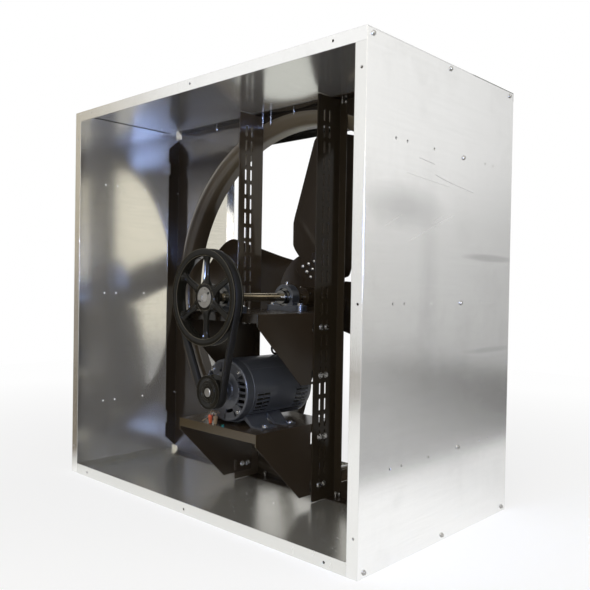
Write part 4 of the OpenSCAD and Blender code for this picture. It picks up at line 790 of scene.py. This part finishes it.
plan = bellShape
axisAt = (motorX, motorZ)
face, deep = plan["face"], plan["deep"]
rimProfile = [(0.0730, face + 0.0006), (0.0736, face), (0.0768, face), (0.0786, face + 0.0010),
              (0.0797, face + 0.0028), (0.0800, face + 0.0050), (0.0800, -0.1750), (0.0792, -0.1743),
              (0.0770, -0.1743), (0.0770, -0.1706), (0.0745, -0.1706), (0.0745, deep + 0.003), (0.0730, deep)]
middleProfile = [(0.0125, face - 0.0045), (0.0255, face - 0.0045), (0.0270, face - 0.0035), (0.0275, face - 0.0008),
                 (0.0290, face), (0.0480, face), (0.0488, face + 0.0006), (0.0488, deep), (0.0300, deep),
                 (0.0300, -0.1840), (0.0221, -0.1840), (0.0221, -0.1966), (0.0125, -0.1966)]
shells = [turnedRing(profile, axisAt, 128) for profile in (rimProfile, middleProfile)]
shells += [closedShell(barPlate(plan, side, k * plan["barPitch"])) for side in (-1, 1) for k in range(-2, 3)]
webs = [(66.5, 29.0), (107.0, 1.6), (130.5, 12.5), (225.0, 7.6), (250.0, 20.0), (312.0, 12.0)]
webs = [(plan["inR"], a - half, a + half) for a, half in webs] + [(0.0570, 94.0, 120.0), (0.0570, 266.0, 304.0)]
shells += [closedShell(arcPlate(inner, plan["outR"], *span, face + 0.0004, deep)) for inner, *span in webs]
for head, axis, length in fastenerPlaces("motor_through_bolts"):
    boss = [(0.0030, face - 0.0002), (plan["bossR"] - 0.0012, face - 0.0002), (plan["bossR"], face + 0.001),
            (plan["bossR"], -0.1850), (0.0030, -0.1850)]
    shells.append(turnedRing(boss, (head[0], head[2]), 28))
makePiece("motorFrontBell", shells, "bell", "housing", ("motor_front_bell",))

# louvres in the shell: raised hoods in two columns with painted shade under them, dark strips where their openings
# are; a rail and two seams along the shell
louvrePlan = {"anglesDeg": (3, 11, 19, 27, 35), "fromY": (-0.163, -0.139, -0.021, 0.003), "long": 0.0205,
              "r": 0.0797, "lift": 0.0021, "hoodDeg": 2.0, "shadeStripDeg": 3.6, "shadeStripLift": 0.0006}
plan = louvrePlan
places = [(side - a, y) for side in (0, 180) for a in plan["anglesDeg"] for y in plan["fromY"]]
shellR, hoodR, shadeStripR, long = plan["r"], plan["r"] + plan["lift"], plan["r"] + plan["shadeStripLift"], plan["long"]
hoods = [arcPlate(shellR, hoodR, a, a + plan["hoodDeg"], y, y + long, 0.0004) for a, y in places]
shadeStrips = [arcPlate(shellR, shadeStripR, a - plan["shadeStripDeg"], a, y, y + long, 0.0001) for a, y in places]
rails = [arcPlate(shellR, shellR + 0.0022, -44.5, -41.5, -0.1735, 0.0285, 0.0004),
         arcPlate(shellR, shellR + 0.0009, 44.0, 62.0, -0.1690, 0.0240, 0.0003)]
rails += [arcPlate(shellR, shellR + 0.0008, k * 90.0, k * 90.0 + 90.0, y, y + 0.004, 0.0003)
          for k in range(4) for y in (-0.1735, 0.0245)]
# painted shade: a dark strip below the lower rail
shadeStrips.append(arcPlate(shellR, shellR + 0.0007, -48.5, -44.6, -0.1735, 0.0285, 0.0001))
makePiece("motorLouvres", [closedShell(grid) for grid in hoods + rails], "motor", "housing", ())
makePiece("louvrePaintedShade", [closedShell(grid) for grid in shadeStrips], "iron", "housing", ())

# motor sheave: fixed flange on a long hub, movable flange with a stepped face, and the shaft's end
hubProfile = np.array([(0.0113, -0.0148), (0.0168, -0.0148), (0.0174, -0.0142), (0.0174, 0.0022), (0.0422, 0.0101),
                       (0.0430, 0.0108), (0.0430, 0.0124), (0.0423, 0.0132), (0.0265, 0.0168), (0.0250, 0.0182),
                       (0.0250, 0.0192), (0.0242, 0.0200), (0.0113, 0.0200)]) + (0, beltY)
flangeProfile = np.array([(0.0177, -0.0024), (0.0422, -0.0101), (0.0430, -0.0108), (0.0430, -0.0136),
                          (0.0424, -0.0144), (0.0412, -0.0146), (0.0330, -0.0140), (0.0305, -0.0128),
                          (0.0290, -0.0124), (0.0276, -0.0130), (0.0270, -0.0160), (0.0262, -0.0169),
                          (0.0240, -0.0170), (0.0228, -0.0166), (0.0220, -0.0152), (0.0190, -0.0150),
                          (0.0177, -0.0138)]) + (0, beltY)
makePiece("sheaveHub", [turnedRing(hubProfile, axisAt, 112)], "iron", "motor_rotor", ("motor_pulley_hub",))
makePiece("sheaveFlange", [turnedRing(flangeProfile, axisAt, 112)], "iron", "motor_rotor", ("motor_pulley_flange",))
shaftProfile = [(0.0098, -0.2612), (0.0109, -0.2601), (0.0109, 0.0468), (0.0102, 0.0475)]
makePiece("motorShaft", [closedShell(turnedAbout(shaftProfile, axisAt, 64))], "greyIron", "motor_rotor",
          ("motor_shaft",))

# lifting eye: a ring on a short stem
eyePlan = {"y": -0.0225, "low": 0.3775, "ringR": 0.0140, "barR": 0.0030, "stem": [[0.3745], [0.3810]]}
plan = eyePlan
turn = circle(48)[:, None]
tube = circle(14)
reach = plan["ringR"] + plan["barR"] * np.cos(tube)
ring = xyz(motorX + plan["barR"] * np.sin(tube), plan["y"] + reach * np.cos(turn),
           plan["low"] + plan["ringR"] + plan["barR"] + reach * np.sin(turn))
stem = xyz(motorX + plan["barR"] * np.cos(tube), plan["y"] + plan["barR"] * np.sin(tube), np.array(plan["stem"]))
makePiece("liftingEye", [closedShell(ring, True), closedShell(stem)], "iron", "housing", ("lifting_eye",))


def tubeAlong(stops, radius, count=40, cols=10):
    # a round wire along a smooth curve through the stops; its section turns with the curve
    stops = np.asarray(stops, float)
    at = np.linspace(0, len(stops) - 1, count)
    path = np.stack([np.interp(at, np.arange(len(stops)), stops[:, k]) for k in range(3)], axis=-1)
    kernel = np.hanning(11)
    kernel /= kernel.sum()
    padded = np.concatenate([np.repeat(path[:1], 5, axis=0), path, np.repeat(path[-1:], 5, axis=0)])
    path = np.stack([np.convolve(padded[:, k], kernel, "valid") for k in range(3)], axis=-1)
    ahead = np.gradient(path, axis=0)
    ahead /= np.linalg.norm(ahead, axis=1, keepdims=True)
    side = np.cross(ahead, (0.31, -0.22, 0.93))
    side /= np.linalg.norm(side, axis=1, keepdims=True)
    up = np.cross(side, ahead)
    angle = circle(cols)[None, :, None]
    return path[:, None] + radius * (np.cos(angle) * side[:, None] + np.sin(angle) * up[:, None])


# motor leads: four thin wires that leave the bell, hang in arcs and end in the wire nuts, and a loose fifth
leadShape = {"r": 0.0011, "wires": [
    [(-0.016, -0.182, 0.2360), (-0.0165, -0.200, 0.2375), (-0.0172, -0.2100, 0.2390),
     (-0.0174, -0.2116, 0.2320), (-0.0172, -0.2115, 0.2270)],
    [(-0.013, -0.182, 0.2360), (-0.0130, -0.202, 0.2400), (-0.0155, -0.2125, 0.2400),
     (-0.0165, -0.2118, 0.2330), (-0.0165, -0.2115, 0.2270)],
    [(0.001, -0.182, 0.2360), (0.0015, -0.204, 0.2420), (0.0025, -0.2135, 0.2420),
     (0.0028, -0.2120, 0.2330), (0.0028, -0.2115, 0.2270)],
    [(0.004, -0.182, 0.2360), (0.0060, -0.200, 0.2370), (0.0045, -0.2100, 0.2380),
     (0.0036, -0.2116, 0.2320), (0.0036, -0.2115, 0.2270)],
    [(-0.016, -0.196, 0.2330), (-0.022, -0.206, 0.2290), (-0.031, -0.2130, 0.2200),
     (-0.040, -0.2170, 0.2130), (-0.046, -0.2150, 0.2112)],
]}
shells = [closedShell(tubeAlong(stops, leadShape["r"])) for stops in leadShape["wires"]]
makePiece("motorLeads", shells, "lead", "housing", ("motor_leads",))

# wire nuts: lightly ribbed cones with the mouth up
nutShape = {"low": 0.2091, "midY": -0.2115, "ribs": 10, "ribDeep": 0.00035}
plan = nutShape
turn = circle(60)
rows = np.array([(0.0, 0.0034), (0.0006, 0.0040), (0.012, 0.0050), (0.0128, 0.0053), (0.0205, 0.0054),
                 (0.0216, 0.0052), (0.0220, 0.0048)])
ribShare = np.array([0, 0, 1, 1, 1, 0.4, 0])[:, None]
nutR = rows[:, 1:] + plan["ribDeep"] * ribShare * np.cos(plan["ribs"] * turn)
for name, nodeName, nutX, finish, slotName in (("wireNutOrange", "wire_nut_1", -0.017, "redNut", "red_plastic"),
                                               ("wireNutTan", "wire_nut_2", 0.003, "tanNut", "tan_plastic")):
    grid = xyz(nutX + nutR * np.cos(turn), plan["midY"] + nutR * np.sin(turn), plan["low"] + rows[:, :1])
    makePiece(name, [closedShell(grid)], finish, "housing", (nodeName,))
print("motor made")

# fan panel: a sheet with a round opening and cut corners, and four flanges with pointed ends
panelShape = {"halfX": 0.5385, "low": 0.002, "high": 1.065, "front": 0.0695, "back": 0.0715, "openR": 0.5253,
              "corner": 0.016, "flange": 0.040, "mitre": 0.036, "notchAt": (0.098, 0.140), "notchDeep": 0.0062}


def panelSheet(plan):
    # outline of a rectangle with square cut corners; each outline point has its partner on the round opening
    x, z, cut = plan["halfX"], (plan["high"] - plan["low"]) / 2, plan["corner"]
    midZ = (plan["high"] + plan["low"]) / 2
    turns = np.array([(x, z - cut), (x - cut, z - cut), (x - cut, z), (cut - x, z), (cut - x, z - cut),
                      (-x, z - cut), (-x, cut - z), (cut - x, cut - z), (cut - x, -z), (x - cut, -z),
                      (x - cut, cut - z), (x, cut - z)])
    counts = [4, 4, 60, 4, 4, 60, 4, 4, 60, 4, 4, 60]
    outline = np.concatenate([a + (b - a) * np.linspace(0, 1, n, endpoint=False)[:, None]
                              for a, b, n in zip(turns, np.roll(turns, -1, axis=0), counts)])
    toward = np.arctan2(outline[:, 1] + midZ - fanZ, outline[:, 0])
    opening = plan["openR"] * np.stack([np.cos(toward), np.sin(toward)], axis=-1) + (0.0, fanZ - midZ)
    flat = np.stack([opening, outline, outline, opening], axis=1)
    depth = np.array([plan["front"], plan["front"], plan["back"], plan["back"]])
    return xyz(flat[..., 0], depth, flat[..., 1] + midZ)


plan = panelShape
lip, thick = plan["front"] - plan["flange"], plan["back"] - plan["front"]
lowEnd, wideEnd = plan["low"] + plan["corner"], plan["halfX"] - plan["corner"]
near, far = plan["notchAt"]
sideOutline = np.array([(plan["front"], lowEnd), (lip, lowEnd + plan["mitre"]), (lip, near),
                        (lip + plan["notchDeep"], near), (lip + plan["notchDeep"], far), (lip, far)])
sideOutline = np.concatenate([sideOutline, (sideOutline * (1, -1) + (0, plan["low"] + plan["high"]))[::-1]])
flatOutline = np.array([(-wideEnd, plan["front"]), (plan["mitre"] - wideEnd, lip), (wideEnd - plan["mitre"], lip),
                        (wideEnd, plan["front"])])
shells = [closedShell(panelSheet(plan), True)]
for x in (-plan["halfX"], plan["halfX"] - thick):
    layer = np.array([[x], [x + thick]])
    shells.append(closedShell(xyz(layer, *sideOutline.T)))
for z in (plan["low"], plan["high"] - thick):
    layer = np.array([[z], [z + thick]])
    shells.append(closedShell(xyz(*flatOutline.T, layer)))
makePiece("fanPanelSheet", shells, "brown", "housing", ("fan_panel",))
print("panel made")

# dark seams where the top sheet's laps meet it, along both side walls: the joint line and painted shade under the
# lap edges
seamPlan = {"x": 0.5375, "z": 1.065, "size": 0.0024, "fromY": -0.302, "toY": 0.030}
plan = seamPlan
corner = plan["size"] * np.array([(0.0, 0.0), (1.0, 0.0), (0.6, 0.6), (0.0, 1.0)])
length = np.array([[plan["fromY"]], [plan["toY"]]])
shells = [closedShell(xyz(side * (plan["x"] - corner[:, 0]), length, plan["z"] - corner[:, 1])) for side in (-1, 1)]
makePiece("cornerSeams", shells, "iron", "housing", ())

# venturi: a quarter round from the panel into a straight throat, in thin sheet
venturiPlan = {"throatR": 0.487, "bellR": 0.038, "front": 0.0695, "rear": 0.1315, "thick": 0.002}
plan = venturiPlan
quarter = np.linspace(0.006, math.pi / 2, 18)
openR, bellY = plan["throatR"] + plan["bellR"], plan["front"] + plan["bellR"]
faceCurve = np.stack([openR - plan["bellR"] * np.sin(quarter), bellY - plan["bellR"] * np.cos(quarter)], axis=-1)
backR = plan["bellR"] - plan["thick"]
backCurve = np.stack([openR - backR * np.sin(quarter), bellY - backR * np.cos(quarter)], axis=-1)
rearEdge = [(plan["throatR"], plan["rear"]), (plan["throatR"] + plan["thick"], plan["rear"])]
sheetProfile = np.concatenate([faceCurve, rearEdge, backCurve[::-1]])
makePiece("venturiSheet", [turnedRing(sheetProfile, (0.0, fanZ), 256)], "ring", "housing", ("venturi_ring",))
print("venturi made")

# floor, lamps and the pale room
stagePlan = {
    "floorHalf": 3.2,
    "floorTone": 0.94,
    "whiteReach": 0.92,
    "shadowReach": (2.4, 0.7),  # far from the object, near it
    "shadowShare": 0.22,
    "nearTones": [(0.0, 1.0), (1.0, 0.78)],
    "farTones": [(0.0, 0.37), (1.0, 0.09)],
    "glowShare": 0.985,
    # darker zones left of the object, seen in gloss alone: from and to along X, from and to along Y, tone
    "leftZones": [(-0.55, -0.80, 0.05, -0.15, (0.12, 0.088, 0.045)),
                  (-0.80, -1.15, 0.20, 0.50, (0.62, 0.625, 0.57))],
    "flash": {"place": (1.527, -1.184, 0.755), "aim": (-0.1, 0.1, 0.57), "size": 0.16, "power": 50.0,
              "tint": (0.38, 0.52, 1.0), "glossOnly": True},
    "fill": {"place": (1.10, -1.70, 0.85), "aim": (0.0, 0.0, 0.45), "size": 0.7, "power": 9.0,
             "tint": (1.0, 0.94, 0.85)},
    "key": {"place": (1.2, -2.6, 3.0), "aim": (0.1, 0.0, 0.5), "size": 2.4, "power": 30.0,
            "tint": (1.0, 0.98, 0.95)},
    "side": {"place": (3.4, 0.6, 2.4), "aim": (0.5, 0.0, 0.5), "size": 2.4, "power": 30.0,
             "tint": (1.0, 0.99, 0.97)},
}


def addLamp(name, plan):
    data = bpy.data.lights.new(name, "AREA")
    data.size = plan["size"]
    data.energy = plan["power"]
    data.color = plan["tint"]
    lamp = addObject(name, data)
    lamp.location = plan["place"]
    away = np.array(plan["place"]) - np.array(plan["aim"])
    flat = math.hypot(away[0], away[1])
    lamp.rotation_euler = (math.atan2(flat, away[2]), 0, math.atan2(away[0], -away[1]))
    lamp.visible_diffuse = not plan.get("glossOnly", False)


for lampName in ("flash", "fill", "key", "side"):
    addLamp(lampName, stagePlan[lampName])

half = stagePlan["floorHalf"]
floorMesh = bpy.data.meshes.new("floor")
floorMesh.from_pydata([(-half, -half, 0), (half, -half, 0), (half, half, 0), (-half, half, 0)], [], [(0, 1, 2, 3)])
floor = addObject("floor", floorMesh)
floorMaterial = bpy.data.materials.new("paleFloor")
floorMaterial.use_nodes = True
tree = floorMaterial.node_tree
tone = stagePlan["floorTone"]
setPlain(tree.nodes["Principled BSDF"], Base_Color=(tone, tone, tone, 1.0), Roughness=0.9)
seen = put(tree, "LightPath").outputs
straight = math2(tree, "MAXIMUM", math2(tree, "MAXIMUM", seen["Is Camera Ray"], seen["Is Glossy Ray"]),
                 seen["Is Transmission Ray"])
floorCoords = put(tree, "TexCoord").outputs["Object"]
floorAxes = axesOf(tree, floorCoords)
sheetX, sheetY = floorAxes["X"], floorAxes["Y"]
beyond = mapped(tree, sheetX, stagePlan["whiteReach"] - 0.01, stagePlan["whiteReach"] + 0.01)
beyond = times(tree, beyond, seen["Is Glossy Ray"])
slant = math2(tree, "SUBTRACT", sheetY, times(tree, sheetX, 0.8))
farTone = ramp(tree, mapped(tree, slant, -0.25, 0.80),
               stagePlan["farTones"], False)
nearTone = ramp(tree, mapped(tree, sheetY, 0.10, 0.56),
                stagePlan["nearTones"], False)
nearTone = mixTone(tree, seen["Is Glossy Ray"], (1.0, 1.0, 1.0), nearTone)
glowTone = mixTone(tree, beyond, nearTone, farTone)
for startX, endX, startY, endY, tint in stagePlan["leftZones"]:
    leftward = mapped(tree, sheetX, startX, endX)
    along = mapped(tree, sheetY, startY, endY)
    leftward = times(tree, times(tree, leftward, along), seen["Is Glossy Ray"])
    glowTone = mixTone(tree, leftward, glowTone, tint)
glow = put(tree, "Emission", Color=glowTone, Strength=1.0)
keep = mapped(tree, vector2(tree, "LENGTH", floorCoords), *stagePlan["shadowReach"], 0.0, stagePlan["shadowShare"])
keep = times(tree, seen["Is Camera Ray"], keep)  # lets the object's shadow show near it
share = math2(tree, "SUBTRACT", times(tree, straight, stagePlan["glowShare"]), keep)
both = put(tree, "MixShader", i0=share, i1=tree.nodes["Principled BSDF"].outputs[0], i2=glow.outputs[0])
tree.links.new(both.outputs[0], tree.nodes["Material Output"].inputs["Surface"])
floorMesh.materials.append(floorMaterial)

roomPlan = {
    "stops": [(0.0, 0.40), (0.40, 0.46), (0.47, 0.54), (0.56, 0.62), (0.68, 0.94), (1.0, 1.0)],
    "frontStops": [(0.0, 0.80), (0.52, 0.80), (0.70, 1.0)],
    "leftStops": [(0.46, (0.13, 0.093, 0.048)), (0.56, (0.36, 0.30, 0.18))],
    "rightTone": (0.82, 0.77, 0.62), "dimTone": (0.1, 0.1, 0.1), "dim": 0.20, "diffuseLevel": 0.34,
}
world = bpy.data.worlds.new("paleRoom")
world.use_nodes = True
bpy.context.scene.world = world
tree = world.node_tree
direction = put(tree, "TexCoord").outputs["Generated"]
axes = axesOf(tree, direction)
rise = mapped(tree, axes["Z"], -0.5, 0.5)
room = ramp(tree, rise, roomPlan["stops"])
toRight = mapped(tree, axes["X"], 0.62, 0.84)
dim = mapped(tree, axes["X"], 0.44, 0.62, roomPlan["dim"], 0.0)
room = mixTone(tree, dim, room, roomPlan["dimTone"])
room = mixTone(tree, toRight, room, roomPlan["rightTone"])
toFront = mapped(tree, axes["Y"], -0.3, -0.6)
room = mixTone(tree, toFront, room, ramp(tree, rise, roomPlan["frontStops"]))
toLeft = mapped(tree, axes["X"], -0.77, -0.87)
room = mixTone(tree, toLeft, room, ramp(tree, rise, roomPlan["leftStops"]))
seen = put(tree, "LightPath").outputs
roomLevel = mapped(tree, seen["Is Diffuse Ray"], 0.0, 1.0, 1.0, roomPlan["diffuseLevel"])
roomShade = put(tree, "Background", Color=room, Strength=roomLevel)
white = put(tree, "Background", Color=(1, 1, 1, 1), Strength=1.0)
both = put(tree, "MixShader", i0=seen["Is Camera Ray"], i1=roomShade.outputs[0], i2=white.outputs[0])
tree.links.new(both.outputs[0], tree.nodes["World Output"].inputs["Surface"])
print("stage set")
